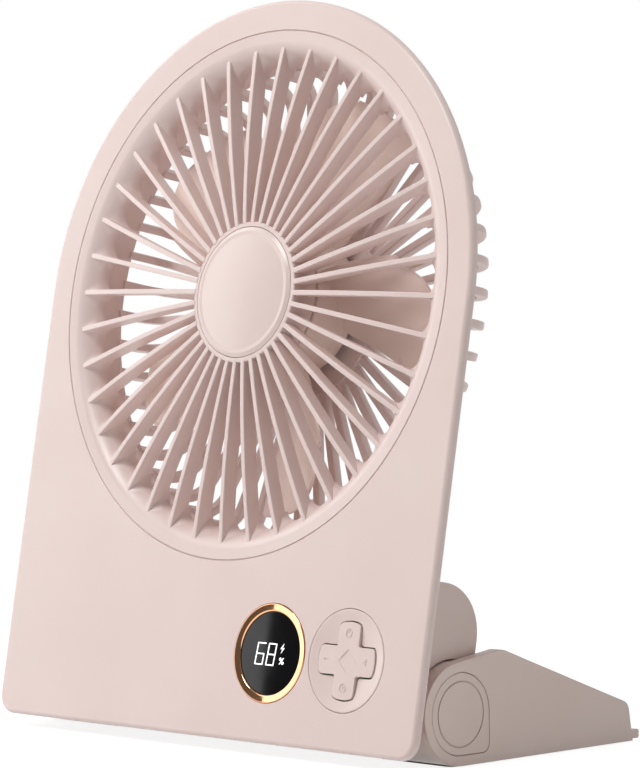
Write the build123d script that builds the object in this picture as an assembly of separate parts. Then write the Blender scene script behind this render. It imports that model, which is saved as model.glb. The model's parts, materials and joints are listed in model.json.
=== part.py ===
from build123d import *
import os
from math import acos, asin, atan2, cos, degrees, hypot, radians, sin, sqrt, tan

# Folding camping fan: an arched fan head on a friction hinge over a low wedge-shaped base tray.
#
# Row frame: +X to the right, +Y to the back, +Z up. The origin is the middle of the anti-slip mat, on the
# surface that the fan stands on. Pieces of the base are drawn with Y counted back from the hinge axis, and
# every piece is moved forward to the row frame when it is saved.
# Face frame, used for the head: +X to the right, +Y into the head, +Z up along the tilted panel. Its origin
# is the fan's centre on the panel's front face, so a Y value there is a depth behind that face.
# All sizes are in millimetres and degrees.

# ---- head outline ----
panel_border = 9.2         # seam round the grille to the panel's edge
panel_corner = 6.0         # bottom corner radius
rim_depth = 2.9            # thickness at the panel's rim
panel_skin = 1.8           # thickness inside the rim
panel_front_edge = 1.3     # rounding of the front edge
panel_rear_edge = 0.7      # rounding of the rear edge
cover_inset = 6.8          # rear cover's outline inside the panel's outline
cover_depth = 5.0          # panel's front face to the rear cover's back
cover_wall = 1.6
nest_gap = 0.15            # gap between mouldings that nest in each other

# ---- front grille ----
duct_radius = 70.0
bell_radius = 5.0          # rounding from the ring's face into the duct
ring_face = 3.8            # flat face between the bell mouth and the middle of the seam
duct_wall = 1.4
duct_depth = 13.6
flange_lap = 0.85          # how far the grille's flange reaches behind the panel
rib_count = 40
rib_thickness = 1.27
rib_front_in = -2.75       # depth of a rib's front edge at the hub
rib_front_middle = -1.95   # half way out
rib_front_out = 0.85       # and where it meets the bell mouth
rib_depth = 5.5            # front edge to rear edge
rib_taper = 0.4            # how much a rib narrows on each side towards its rear edge
rib_taper_depth = 3.2
gusset_reach = 3.2         # each rib's root widens into the duct wall over this length
gusset_width = 3.4
gusset_front = 2.6
gusset_rear = 6.3
hub_radius = 21.0
hub_front = -2.6           # depth of the hub ring's front face
hub_rear = 6.5
hub_wall = 1.6
cap_radius = 19.4
cap_thickness = 1.6
cap_bevel = 2.2
cap_bevel_rise = 0.6
cap_dome = 1.0

# ---- rear grille ----
vane_count = 48
vane_phase = 3.75          # angle of the first vane above the horizontal
vane_thickness = 2.4
vane_band = 3.2            # width of a vane's section, in its own plane
cage_swell = 2.6           # cage's outer radius beyond the duct's bore
cage_depth = 29.4          # panel's front face to the cage's back
cage_corner = 8.5
rear_disc_radius = 27.0
sleeve_wall = 1.7          # rear cover's sleeve around the duct
sleeve_depth = 12.0
skirt_wall = 1.5
skirt_depth = 9.0          # depth at which the rear grille's skirt starts
rear_cap_radius = 20.0
rear_cap_recess = 1.5
rear_cap_dome = 0.4

# ---- impeller and motor ----
blade_count = 5
blade_phase = -1.0
tip_gap = 6.2              # blade tips to the duct's bore
blade_thickness = 1.5
blade_front = 9.6          # depth of the blades' front and rear edges
blade_rear = 22.4
blade_corner = 15.5        # rounding of each blade's outer front corner
blade_corner_drop = 4.5    # how far below the blade's middle line that rounding is centred
rotor_hub_radius = 20.8
rotor_hub_wall = 1.6
rotor_gap = 1.0            # grille hub to impeller hub
rotor_hub_depth = 16.0
rotor_boss_radius = 4.0
rotor_pad_gap = 3.0        # raised ring that the rotor cup seats on: its edges to boss and wall
rotor_pad_inset = 2.0
cup_wall = 1.0
cup_length = 11.4
cup_gap = 0.3              # rotor cup inside the impeller's hub
magnet_thickness = 1.5
magnet_length = 8.8
air_gap = 0.5
stator_slots = 9
stator_length = 7.0
stator_ring = 8.6          # outer radius of the core's hub ring
tooth_width = 2.6
tooth_tip = 1.4
winding_swell = 0.9        # how far a winding stands out around its tooth
tube_bore = 3.2
tube_wall = 2.0
bearing_length = 3.0
shaft_radius = 1.5
running_gap = 0.05         # radial clearance of a shaft in its bearing
clip_radius = 3.0
clip_thickness = 0.5
clip_gap = 0.2
motor_plate_radius = 16.0
motor_plate_thickness = 2.1
motor_board_radius = 17.6
motor_board_thickness = 1.0
motor_screw_circle = 11.5  # radius that the motor screws lie on
motor_screw_count = 3

# ---- battery housing and electronics ----
housing_top = 50.9         # above the panel's bottom edge
housing_gap = 4.4          # rear grille's skirt down to the housing's top
housing_depth = 28.2       # panel's front face to the housing's back
housing_round = 14.7
housing_bottom = 26.5
housing_wall = 1.5
housing_edge = 0.8         # rounding of the housing's end edges
cell_radius = 9.2
cell_length = 65.0
tab_thickness = 0.3
tab_height = 6.0
tab_length = 8.0
cell_right_gap = 0.4       # last tab to the housing's right end wall
cell_left_gap = 1.7        # first tab to the main board's bay
main_board_length = 26.0
main_board_height = 17.0
main_board_thickness = 1.2
main_board_depth = 10.0
socket_width = 8.9
socket_height = 3.2
socket_length = 7.0
socket_wall = 0.3
tongue_width = 6.4
tongue_thickness = 0.7
tongue_setback = 0.8       # tongue's end inside the socket's mouth
board_rib = 1.6

# ---- display and controls ----
controls_rise = 25.9       # control centres above the panel's bottom edge
display_x = 27.0
display_ring_radius = 14.4
display_ring_width = 2.15
display_ring_proud = 0.4
control_fit = 0.15         # display ring and control dish in their holes
control_flange = 0.6
control_flange_thickness = 0.4
lens_recess = 0.65
lens_thickness = 0.9
digit_height = 6.5
digit_width = 3.4
digit_pitch = 4.5
digit_lean = 0.1           # sideways lean per unit of height
digit_shift = 0.15         # eight's middle to the right of the display's middle
digit_fall = 0.3           # digits' middle below the display's middle
sign_shift = 4.8           # bolt and percent sign to the right of the display's middle
sign_scale = 1.2
segment_width = 0.42
segment_thickness = 0.08
display_module_width = 17.0
display_module_height = 11.0
board_thickness = 0.8
board_gap = 0.0            # control board to the rear cover
control_board_margin = 1.0 # board's edge outside the display ring and the dish
control_board_trim = 4.0   # its lower edge is higher by this much
dish_x = 57.9
dish_radius = 14.7
dish_bowl = 1.5            # depth of the bowl at its middle
dish_rim = 0.5
dish_floor = 0.5           # material left under the bowl's lowest point
key_reach = 11.1           # length of each arm of the cross key
key_arm = 9.0              # width of an arm
key_gap = 0.35
key_corner = 1.4
key_top = 0.15             # depth of the key's face
key_thickness = 1.5
key_boss_radius = 1.0
key_diamond = 3.3          # half diagonal of the diamond pressed into the key
key_diamond_depth = 0.25
key_plunger_radius = 0.9
key_plunger_gap = 0.35     # plunger to dome
key_rock = 2.0             # how far the key tips each way, in degrees
rocker_radius = 6.0        # plate that the key tips on, under its middle
rocker_thickness = 0.35
rocker_gap = 0.05
dome_radius = 2.0
dome_thickness = 0.15
dome_circle = 8.4

# ---- hinge ----
hinge_height = 14.9        # hinge axis above the surface
hinge_setback = 20.2       # hinge axis behind the panel's front face
hinge_rise = 15.0          # hinge axis above the panel's bottom edge
tilt = 10.84               # how far the head leans back at rest
foot_gap = 0.3             # base's underside above the surface: how far the mat stands out
knuckle_inner = 52.0       # half width of the gap between the base's two barrels
knuckle_side_gap = 0.5
barrel_wall = 4.0
knuckle_end_wall = 6.5
neck_lap = 3.0             # how far the knuckle's neck reaches up into the housing
base_end_wall = 4.0
pin_radius = 3.0
pin_fit = 0.06
pin_inside = 11.5          # pin length inside the head's knuckle
washer_radius = 8.0
washer_thickness = 1.0
spring_washer_radius = 7.0
spring_washer_height = 1.4
nut_width = 10.0           # across flats
nut_thickness = 4.0
nut_gap = 0.05
pin_end = 2.0              # pin beyond the nut
housing_clearance = 0.5    # battery housing over the base's barrels

# ---- base ----
base_width = 170.6
cheek_thickness = 3.5
peak_y = 17.1              # cheek's highest corner, behind the hinge axis
peak_z = 31.8
peak_round = 7.0
cheek_slope = 20.5         # fall of the cheek's top edge
rear_y = 73.2              # rear end of the cheeks at the bottom
rear_lean = 1.9            # how much further forward the top corner is
rear_round = 3.5
tray_top = 4.6             # tray floor above the surface
tray_skin = 1.2
tray_front = 16.4
lip_reach = 2.7
lip_root = 4.0             # how far the lip reaches forward into the cheeks and tray
lip_top = 3.5
lip_bottom = 0.9
lip_round = 0.7
floor_cover_thickness = 1.1
floor_margin_x = 4.0       # solid border round the tray's underside recess
floor_margin_front = 4.0
floor_margin_rear = 4.4
ballast_thickness = 1.5
ballast_margin_x = 8.0
ballast_margin_y = 4.0
floor_boss_radius = 3.0
floor_boss_inset = 3.6
mat_thickness = 0.6        # anti-slip mat, partly sunk into the base's underside
mat_inset = 1.8            # mat's edge inside the cheeks' outer faces
mat_front = -2.0           # mat's front and rear edges behind the hinge axis
mat_rear = 70.6
mat_corner = 3.0
mat_screw_room = 0.4       # around each screw head
side_cap_radius = 11.6
side_cap_corner = 2.6
side_cap_thickness = 1.45
side_cap_recess = 1.6
side_cap_spigot_wall = 1.6
side_cap_spigot = 4.0
side_cap_ring = 9.4        # groove pressed into the cap's face
groove_width = 0.35
groove_depth = 0.3

# ---- screws ----
screw_shank = 1.1
screw_head = 2.2
screw_head_height = 1.2
screw_bite = 0.9           # how far the cover screws go into the panel's skin
cover_screw_rise = 56.5    # above the panel's bottom edge
cover_screw_x = (46.0, 70.0)
cover_boss_radius = 2.6

# ---- worked out from the sizes above ----
seam_radius = duct_radius + bell_radius + ring_face
arch_radius = seam_radius + panel_border
panel_width = 2 * arch_radius
duct_outer = duct_radius + duct_wall
sleeve_inner = duct_outer + nest_gap
sleeve_outer = sleeve_inner + sleeve_wall
skirt_inner = sleeve_outer + nest_gap
panel_drop = skirt_inner + skirt_wall + housing_gap + housing_top
panel_bottom = -panel_drop
hinge_z = panel_bottom + hinge_rise
barrel_radius = hinge_height - foot_gap
ring_outer = seam_radius - nest_gap
panel_opening = seam_radius + nest_gap
cover_radius = arch_radius - cover_inset
flange_radius = panel_opening + flange_lap
flange_rear = cover_depth - cover_wall
cage_radius = duct_radius + cage_swell
blade_tip = duct_radius - tip_gap
gusset_radius = duct_radius - gusset_reach
cage_ring_front = sleeve_depth + nest_gap / 2
cage_front = duct_depth + nest_gap
disc_front = cage_depth - vane_band - 0.2
rotor_front = hub_rear + rotor_gap
rotor_rear = rotor_front + rotor_hub_depth
rotor_inner = rotor_hub_radius - rotor_hub_wall
cup_front = rotor_front + rotor_hub_wall + 0.2
cup_radius = rotor_inner - cup_gap
magnet_outer = cup_radius - cup_wall
magnet_inner = magnet_outer - magnet_thickness
magnet_front = cup_front + cup_wall + 0.8
stator_radius = magnet_inner - air_gap
stator_front = magnet_front + (magnet_length - stator_length) / 2
tube_outer = tube_bore + tube_wall
plate_rear = disc_front
plate_front = plate_rear - motor_plate_thickness
motor_board_front = cup_front + cup_length + 0.9
tube_front = stator_front - 0.8
controls_z = panel_bottom + controls_rise
cells_length = 2 * cell_length + 3 * tab_thickness
housing_half_width = (cells_length + cell_left_gap + cell_right_gap + main_board_length) / 2 + housing_wall
base_half = base_width / 2
cheek_inner = base_half - cheek_thickness
bore_radius = barrel_radius - barrel_wall
floor_cover_top = mat_thickness + floor_cover_thickness
board_rear = cover_depth - cover_wall - board_gap
board_front = board_rear - board_thickness
origin_y = (mat_front + mat_rear) / 2


# ---- helpers ----
def disc(radius, near, far, x=0.0, z=0.0):
    """Round plate across the fan's axis, from depth near to depth far."""
    return Pos(x, (near + far) / 2, z) * Rot(90, 0, 0) * Cylinder(radius, far - near)


def ring(inner, outer, near, far, x=0.0, z=0.0):
    """Flat ring across the fan's axis."""
    return disc(outer, near, far, x, z) - disc(inner, near - 1, far + 1, x, z)


def rod(radius, left, right, y=0.0, z=0.0):
    """Round bar along X."""
    return Pos((left + right) / 2, y, z) * Rot(0, 90, 0) * Cylinder(radius, right - left)


def tube(inner, outer, left, right, y=0.0, z=0.0):
    """Tube along X."""
    return rod(outer, left, right, y, z) - rod(inner, left - 1, right + 1, y, z)


def post(radius, low, high, x=0.0, y=0.0):
    """Round bar along Z."""
    return Pos(x, y, (low + high) / 2) * Cylinder(radius, high - low)


def block(low, high):
    """Box between two corners."""
    middle = [(a + b) / 2 for a, b in zip(low, high)]
    size = [b - a for a, b in zip(low, high)]
    return Pos(*middle) * Box(*size)


def slab(outline, near, far):
    """Outline drawn face-on in X and Z, made solid from depth near to depth far."""
    plane = Plane(origin=(0, near, 0), x_dir=(1, 0, 0), z_dir=(0, -1, 0))
    return extrude(plane * outline, amount=near - far)


def side_slab(outline, left, right):
    """Outline drawn from the side in Y and Z, made solid from X left to X right."""
    plane = Plane(origin=(left, 0, 0), x_dir=(0, 1, 0), z_dir=(1, 0, 0))
    return extrude(plane * outline, amount=right - left)


def turned(points):
    """Solid of revolution about the fan's axis from (radius, depth) points."""
    return revolve(make_face(Polyline(*points, close=True)), Axis.Y)


def about_fan(part, angle):
    """Part turned about the fan's axis, anticlockwise seen from the front."""
    return Rot(0, -angle, 0) * part


def mirrored(part):
    """The same part on the other side of the middle plane."""
    return part.mirror(Plane.YZ)


def both_sides(part):
    return [part, mirrored(part)]


def on_head(part):
    """Face frame to the base's frame: the hinge axis goes to its height and the head leans back."""
    return Pos(0, 0, hinge_height) * Rot(-tilt, 0, 0) * Pos(0, -hinge_setback, -hinge_z) * part


def arch(radius, bottom_gap, corner):
    """Face-on outline of the head: a half circle over straight sides."""
    drop = panel_drop - bottom_gap
    outline = Circle(radius) + Pos(0, -drop / 2) * Rectangle(2 * radius, drop)
    corners = outline.vertices().sort_by(Axis.Y)[:2]
    return fillet(corners, corner)


def front_rim(part):
    """Edges of the part's front-most flat face."""
    return part.faces().sort_by(Axis.Y)[0].outer_wire().edges()


def save(name, part, head=False):
    """Write one node; a list becomes a group of separate solids."""
    pieces = part if isinstance(part, (list, tuple)) else [part]
    solids = [solid for piece in pieces for solid in piece.solids()]
    if head:
        solids = [on_head(solid) for solid in solids]
    solids = [Pos(0, -origin_y, 0) * solid for solid in solids]
    shape = solids[0] if len(solids) == 1 else Compound(children=solids)
    shape.label = name
    export_step(shape, os.path.join("parts", name + ".step"))


# ---- head: front ----
def front_panel():
    body = slab(arch(arch_radius, 0, panel_corner), 0, rim_depth)
    body = fillet(front_rim(body), panel_front_edge)
    rear = body.faces().sort_by(Axis.Y)[-1].outer_wire().edges()
    body = fillet(rear, panel_rear_edge)
    recess = arch(cover_radius + nest_gap, cover_inset / 2 - nest_gap, panel_corner)
    body -= slab(recess, panel_skin, rim_depth + 1)
    for x in cover_screw_x:
        for side in (x, -x):
            body += disc(cover_boss_radius, panel_skin / 2, flange_rear, side, panel_bottom + cover_screw_rise)
            body -= disc(screw_shank, panel_skin - screw_bite, flange_rear + 1, side,
                         panel_bottom + cover_screw_rise)
    body -= disc(panel_opening, -1, rim_depth + 1)
    body -= disc(display_ring_radius + control_fit, -1, rim_depth, display_x, controls_z)
    body -= disc(dish_radius + control_fit, -1, rim_depth, dish_x, controls_z)
    return body


def bell_ring():
    """Ring face, bell mouth, duct wall and the flange behind the panel."""
    lip = duct_radius + bell_radius
    outline = [
        Line((ring_outer, 0), (lip, 0)),
        CenterArc((lip, bell_radius), bell_radius, 180, 90),
        Line((duct_radius, bell_radius), (duct_radius, duct_depth)),
        Polyline((duct_radius, duct_depth), (duct_outer, duct_depth), (duct_outer, flange_rear),
                 (flange_radius, flange_rear), (flange_radius, panel_skin), (ring_outer, panel_skin),
                 (ring_outer, 0)),
    ]
    return revolve(make_face(outline), Axis.Y)


def rib():
    """One arched rib, with a small gusset where it meets the duct wall."""
    root = hub_radius - hub_wall / 4
    tip = duct_radius + bell_radius * 0.6
    middle = (root + tip) / 2
    outline = [
        ThreePointArc((root, rib_front_in), (middle, rib_front_middle), (tip, rib_front_out)),
        Line((tip, rib_front_out), (tip, rib_front_out + rib_depth)),
        ThreePointArc((tip, rib_front_out + rib_depth), (middle, rib_front_middle + rib_depth),
                      (root, rib_front_in + rib_depth)),
        Line((root, rib_front_in + rib_depth), (root, rib_front_in)),
    ]
    body = extrude(make_face(outline), amount=rib_thickness / 2, both=True)
    rear = body.faces().sort_by(Axis.Y)[-1]
    long_edges = rear.edges().sort_by(SortBy.LENGTH)[-2:]
    body = chamfer(long_edges, length=rib_taper, length2=rib_taper_depth, reference=rear)
    end = duct_radius + duct_wall / 2
    half = gusset_width / 2
    gusset = slab(make_face(Polyline((gusset_radius, 0), (end, half), (end, -half), close=True)),
                  gusset_front, gusset_rear)
    outside = ring(end, tip + 1, bell_radius * 0.5, duct_depth)
    return body + gusset - outside


def front_grille():
    hub = turned([(0, hub_front + cap_thickness), (cap_radius + nest_gap, hub_front + cap_thickness),
                  (cap_radius + nest_gap, hub_front), (hub_radius - 0.5, hub_front),
                  (hub_radius, hub_front + 0.5), (hub_radius, hub_rear), (hub_radius - hub_wall, hub_rear),
                  (hub_radius - hub_wall, hub_front + cap_thickness + hub_wall),
                  (0, hub_front + cap_thickness + hub_wall)])
    ribs = [about_fan(rib(), 360 / rib_count * i) for i in range(rib_count)]
    return (bell_ring() + hub).fuse(*ribs)


def hub_cap():
    seat = hub_front + cap_thickness
    shoulder = cap_radius - cap_bevel
    rise = hub_front - cap_bevel_rise
    sagitta = cap_dome
    sphere = (shoulder ** 2 + sagitta ** 2) / (2 * sagitta)
    half = degrees(asin(shoulder / sphere))
    outline = [
        Polyline((0, seat), (cap_radius, seat), (cap_radius, hub_front), (shoulder, rise)),
        CenterArc((0, rise - sagitta + sphere), sphere, -90, half),
        Line((0, rise - sagitta), (0, seat)),
    ]
    return revolve(make_face(outline), Axis.Y)


def display_ring():
    outer, inner = display_ring_radius, display_ring_radius - display_ring_width
    middle = (outer + inner) / 2
    shoulder = panel_skin * 0.2
    outline = [
        Line((outer, panel_skin), (outer, shoulder)),
        ThreePointArc((outer, shoulder), (middle, -display_ring_proud), (inner, shoulder)),
        Polyline((inner, shoulder), (inner, panel_skin + control_flange_thickness),
                 (outer + control_flange, panel_skin + control_flange_thickness),
                 (outer + control_flange, panel_skin), (outer, panel_skin)),
    ]
    return Pos(display_x, 0, controls_z) * revolve(make_face(outline), Axis.Y)


def display_lens():
    radius = display_ring_radius - display_ring_width
    return disc(radius, lens_recess, lens_recess + lens_thickness, display_x, controls_z)


def display_module():
    half_w, half_h = display_module_width / 2, display_module_height / 2
    return block((display_x - half_w, lens_recess + lens_thickness, controls_z - half_h),
                 (display_x + half_w, board_front, controls_z + half_h))


def bar(x, z, length, upright):
    """One lit segment of a digit, centred on x and z."""
    size = (segment_width, length) if upright else (length, segment_width)
    outline = Pos(display_x + x + digit_lean * z, controls_z - digit_fall + z) * Rectangle(*size)
    return slab(outline, lens_recess - segment_thickness, lens_recess)


def display_digits():
    """A six and an eight in seven segments, a charging bolt and a percent sign."""
    half_h, half_w = digit_height / 2, digit_width / 2
    long_bar, short_bar = digit_height / 2 - 2 * segment_width, digit_width - 2 * segment_width
    pieces = []
    for centre, skip in ((digit_shift - digit_pitch, "b"), (digit_shift, "")):
        layout = {"a": (0, half_h, False), "g": (0, 0, False), "d": (0, -half_h, False),
                  "f": (-half_w, half_h / 2, True), "b": (half_w, half_h / 2, True),
                  "e": (-half_w, -half_h / 2, True), "c": (half_w, -half_h / 2, True)}
        for name, (x, z, upright) in layout.items():
            if name not in skip:
                pieces.append(bar(centre + x, z, long_bar if upright else short_bar, upright))
    sign_x, sign_z = display_x + sign_shift, controls_z - digit_fall
    bolt = Polyline((0.35, 1.5), (-0.75, -0.15), (-0.05, -0.15), (-0.35, -1.5), (0.75, 0.15), (0.05, 0.15),
                    close=True)
    pieces.append(slab(Pos(sign_x + digit_lean, sign_z + digit_height / 4) * scale(make_face(bolt), sign_scale),
                       lens_recess - segment_thickness, lens_recess))
    percent = Rot(0, 0, 52) * Rectangle(2.2, 0.3)
    percent += Pos(-0.6, 0.55) * Circle(0.38)
    percent += Pos(0.6, -0.55) * Circle(0.38)
    pieces.append(slab(Pos(sign_x - digit_lean, sign_z - digit_height / 4) * scale(percent, sign_scale),
                       lens_recess - segment_thickness, lens_recess))
    return pieces


def cross(reach, arm, corner):
    """Face-on outline of the cross key: two crossed arms with ends rounded about the middle."""
    outline = (Rectangle(2 * reach, arm) + Rectangle(arm, 2 * reach)) & Circle(reach)
    tips = [v for v in outline.vertices() if hypot(v.X, v.Y) > arm * 0.9]
    return fillet(tips, corner)


def control_dish():
    bowl = dish_radius - dish_rim
    sphere = (bowl ** 2 + dish_bowl ** 2) / (2 * dish_bowl)
    floor = dish_bowl + dish_floor
    outline = [
        Line((0, floor), (0, dish_bowl)),
        CenterArc((0, dish_bowl - sphere), sphere, 90, -degrees(asin(bowl / sphere))),
        Polyline((bowl, 0), (dish_radius, 0), (dish_radius, panel_skin),
                 (dish_radius + control_flange, panel_skin),
                 (dish_radius + control_flange, panel_skin + control_flange_thickness),
                 (bowl, panel_skin + control_flange_thickness), (bowl, floor), (0, floor)),
    ]
    body = revolve(make_face(outline), Axis.Y)
    body -= slab(cross(key_reach + key_gap, key_arm + 2 * key_gap, key_corner), -1, floor + 1)
    return Pos(dish_x, 0, controls_z) * body


def cross_key():
    outline = cross(key_reach, key_arm, key_corner)
    body = slab(outline, key_top, key_top + key_thickness)
    body = fillet(front_rim(body), 0.3)
    body += disc(key_boss_radius, key_top + key_thickness / 2, rocker_front() - rocker_gap)
    for x, z in dome_places():
        body += disc(key_plunger_radius, key_top + key_thickness / 2, board_front - dome_thickness - key_plunger_gap,
                     x, z)
    diamond = Rot(0, 0, 45) * Rectangle(key_diamond * sqrt(2), key_diamond * sqrt(2))
    body -= slab(diamond, key_top - 1, key_top + key_diamond_depth)
    return Pos(dish_x, 0, controls_z) * body


def rocker_front():
    """Depth of the rocker's front face; its edge stays clear of the control board when it tips."""
    return board_front - rocker_thickness - rocker_radius * sin(radians(key_rock)) - 0.03


def key_rocker():
    near = rocker_front()
    plate = disc(rocker_radius, near, near + rocker_thickness)
    slots = ring(rocker_radius * 0.55, rocker_radius * 0.75, 0, cover_depth)
    slots -= slab(Rectangle(rocker_radius / 2, 3 * rocker_radius), 0, cover_depth)
    plate -= slots
    return Pos(dish_x, 0, controls_z) * plate


def dome_places():
    """Dome centres about the key's middle."""
    return [(dome_circle, 0), (0, dome_circle), (-dome_circle, 0), (0, -dome_circle)]


def key_domes():
    return [disc(dome_radius, board_front - dome_thickness, board_front, dish_x + x, controls_z + z)
            for x, z in dome_places()]


def control_board():
    left = display_x - display_ring_radius - control_board_margin
    right = dish_x + dish_radius + control_board_margin
    half = dish_radius + control_board_margin
    low = controls_z - half + control_board_trim
    return block((left, board_front, low), (right, board_rear, controls_z + half))


# ---- head: back ----
def housing_profile(inset):
    """Side outline of the battery housing in depth and height, drawn in by inset."""
    top = panel_bottom + housing_top - inset
    back = housing_depth - inset
    radius = housing_round - inset
    bottom = panel_bottom + housing_bottom
    front = flange_rear - 1 if inset else flange_rear
    outline = [
        Polyline((back, top - radius), (back, bottom), (front, bottom), (front, top), (back - radius, top)),
        CenterArc((back - radius, top - radius), radius, 0, 90),
    ]
    return make_face(outline)


def barrel_clearance(extra):
    return rod(barrel_radius + housing_clearance + extra, -panel_width, panel_width, hinge_setback, hinge_z)


def battery_housing():
    body = side_slab(housing_profile(0), -housing_half_width, housing_half_width)
    ends = [e for f in (body.faces().sort_by(Axis.X)[0], body.faces().sort_by(Axis.X)[-1])
            for e in f.edges() if e.center().Y > flange_rear + 1 and e.center().Z > panel_bottom + housing_bottom + 1]
    body = fillet(ends, housing_edge)
    return body - barrel_clearance(0)


def battery_bay():
    """Space inside the housing."""
    end = housing_half_width - housing_wall
    body = side_slab(housing_profile(housing_wall), -end, end)
    return body - barrel_clearance(housing_wall)


def board_ribs():
    """Two walls that carry the main board and keep the cells in their bay."""
    start = -housing_half_width + housing_wall
    low = panel_bottom + housing_top - housing_wall - main_board_height
    ribs = []
    for x in (start + socket_length + 2, start + main_board_length - board_rib):
        rib_body = block((x, main_board_depth + main_board_thickness, low + 1),
                         (x + board_rib, housing_depth, low + main_board_height))
        ribs.append(rib_body & side_slab(housing_profile(housing_wall / 2), x, x + board_rib))
    return ribs


def socket_box(grow, left, right):
    """Room of the charging socket, grown by a gap."""
    y = main_board_depth + main_board_thickness + socket_height / 2
    z = socket_z()
    half_h, half_w = socket_height / 2 + grow, socket_width / 2 + grow
    outline = fillet((Pos(y, z) * Rectangle(2 * half_h, 2 * half_w)).vertices(), half_h * 0.9)
    return side_slab(outline, left, right)


def socket_z():
    return panel_bottom + housing_top - housing_wall - main_board_height / 2 - 1


def head_knuckle():
    """Hollow barrel between the base's barrels, with a block that joins it to the cover."""
    half = knuckle_inner - knuckle_side_gap
    body = rod(barrel_radius, -half, half, hinge_setback, hinge_z)
    neck = block((-half, flange_rear, hinge_z - barrel_radius * 0.6),
                 (half, hinge_setback, panel_bottom + housing_bottom + neck_lap))
    body += neck
    hollow = half - knuckle_end_wall
    body -= rod(bore_radius, -hollow, hollow, hinge_setback, hinge_z)
    body -= rod(pin_radius, -half - 1, half + 1, hinge_setback, hinge_z)
    return body


def rear_cover():
    plate = slab(arch(cover_radius, cover_inset / 2, panel_corner), panel_skin, cover_depth)
    inner = arch(cover_radius - cover_wall, cover_inset / 2 + cover_wall, panel_corner - cover_wall / 2)
    plate -= slab(inner, panel_skin - 1, flange_rear)
    plate -= disc(flange_radius + nest_gap, -1, flange_rear)
    body = plate + ring(sleeve_inner, sleeve_outer, flange_rear, sleeve_depth)
    body -= disc(sleeve_inner, -1, sleeve_depth + 1)
    body += battery_housing()
    body -= battery_bay()
    body += head_knuckle()
    for wall in board_ribs():
        body += wall
    start = -housing_half_width
    body -= socket_box(nest_gap, start - 1, start + socket_length + 1)
    for x in cover_screw_x:
        for side in (x, -x):
            body -= disc(screw_shank + 0.1, flange_rear - 1, cover_depth + 1, side, panel_bottom + cover_screw_rise)
    return body


def cover_screws():
    screws = []
    for x in cover_screw_x:
        for side in (x, -x):
            z = panel_bottom + cover_screw_rise
            shank = disc(screw_shank, panel_skin - screw_bite, cover_depth + 0.2, side, z)
            head = disc(screw_head, cover_depth, cover_depth + screw_head_height, side, z)
            head = fillet(head.edges().sort_by(Axis.Y)[-1], 0.4)
            slot = Pos(side, cover_depth + screw_head_height, z) * Box(screw_head * 1.3, 1.0, 0.5)
            cross_slot = Pos(side, cover_depth + screw_head_height, z) * Box(0.5, 1.0, screw_head * 1.3)
            screws.append(shank + head - slot - cross_slot)
    return screws


def vane():
    """One L-shaped vane of the rear grille in the plane of X and depth."""
    corner = cage_corner
    inner_corner = corner - vane_band
    side_in = cage_radius - vane_band
    end = rear_disc_radius - 1.5
    outline = [
        Polyline((cage_radius, cage_depth - corner), (cage_radius, cage_ring_front + 0.4),
                 (sleeve_inner + 0.1, cage_ring_front + 0.4), (sleeve_inner + 0.1, cage_front),
                 (side_in, cage_front), (side_in, cage_depth - corner)),
        CenterArc((cage_radius - corner, cage_depth - corner), inner_corner, 0, 90),
        Polyline((cage_radius - corner, cage_depth - vane_band), (end, cage_depth - vane_band),
                 (end, cage_depth), (cage_radius - corner, cage_depth)),
        CenterArc((cage_radius - corner, cage_depth - corner), corner, 0, 90),
    ]
    return extrude(make_face(outline), amount=vane_thickness / 2, both=True)


def rear_grille():
    body = ring(sleeve_inner, skirt_inner + skirt_wall, cage_ring_front, cage_front)
    body += ring(skirt_inner, skirt_inner + skirt_wall, skirt_depth, cage_front)
    hub = disc(rear_disc_radius, disc_front, cage_depth)
    vanes = [about_fan(vane(), vane_phase + 360 / vane_count * i) for i in range(vane_count)]
    body = (body + hub).fuse(*vanes)
    body -= disc(rear_cap_radius + nest_gap, cage_depth - rear_cap_recess, cage_depth + 1)
    for x, z in motor_screw_places():
        body -= disc(screw_shank + 0.1, disc_front - 1, cage_depth + 1, x, z)
    return body


def motor_screw_places():
    places = []
    for i in range(motor_screw_count):
        angle = radians(90 + 360 / motor_screw_count * i)
        places.append((motor_screw_circle * cos(angle), motor_screw_circle * sin(angle)))
    return places


def rear_hub_cap():
    seat = cage_depth - rear_cap_recess + 0.3
    floor = turned([(0, seat), (rear_cap_radius, seat), (rear_cap_radius, cage_depth - 0.1),
                    (rear_cap_radius - 2, cage_depth + rear_cap_dome * 0.6), (0, cage_depth + rear_cap_dome)])
    for x, z in motor_screw_places():
        floor -= disc(screw_head + 0.2, seat - 1, seat + 0.7, x, z)
    feet = ring(rear_cap_radius - 2, rear_cap_radius - 0.5, cage_depth - rear_cap_recess, seat + 0.1)
    return floor + feet


# ---- motor and impeller ----
def motor_screws():
    screws = []
    seat = cage_depth - rear_cap_recess
    for x, z in motor_screw_places():
        shank = disc(screw_shank, plate_front + 0.4, seat + 0.2, x, z)
        screws.append(shank + disc(screw_head, seat, seat + 0.9, x, z))
    return screws


def motor_base():
    body = disc(motor_plate_radius, plate_front, plate_rear)
    body += disc(tube_outer + 2.6, motor_board_front + motor_board_thickness, plate_front + 0.1)
    body += disc(tube_outer, tube_front, plate_front + 0.1)
    body -= disc(tube_bore, tube_front - 1, plate_front + 0.1)
    body -= disc(clip_radius + 1.2, plate_front, plate_rear + 1)
    for x, z in motor_screw_places():
        body -= disc(screw_shank, plate_front + 0.4, plate_rear + 1, x, z)
    return body


def motor_bearings():
    inner = shaft_radius + running_gap
    return [ring(inner, tube_bore, tube_front, tube_front + bearing_length),
            ring(inner, tube_bore, plate_front - bearing_length, plate_front)]


def motor_board():
    return ring(tube_outer, motor_board_radius, motor_board_front, motor_board_front + motor_board_thickness)


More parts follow.
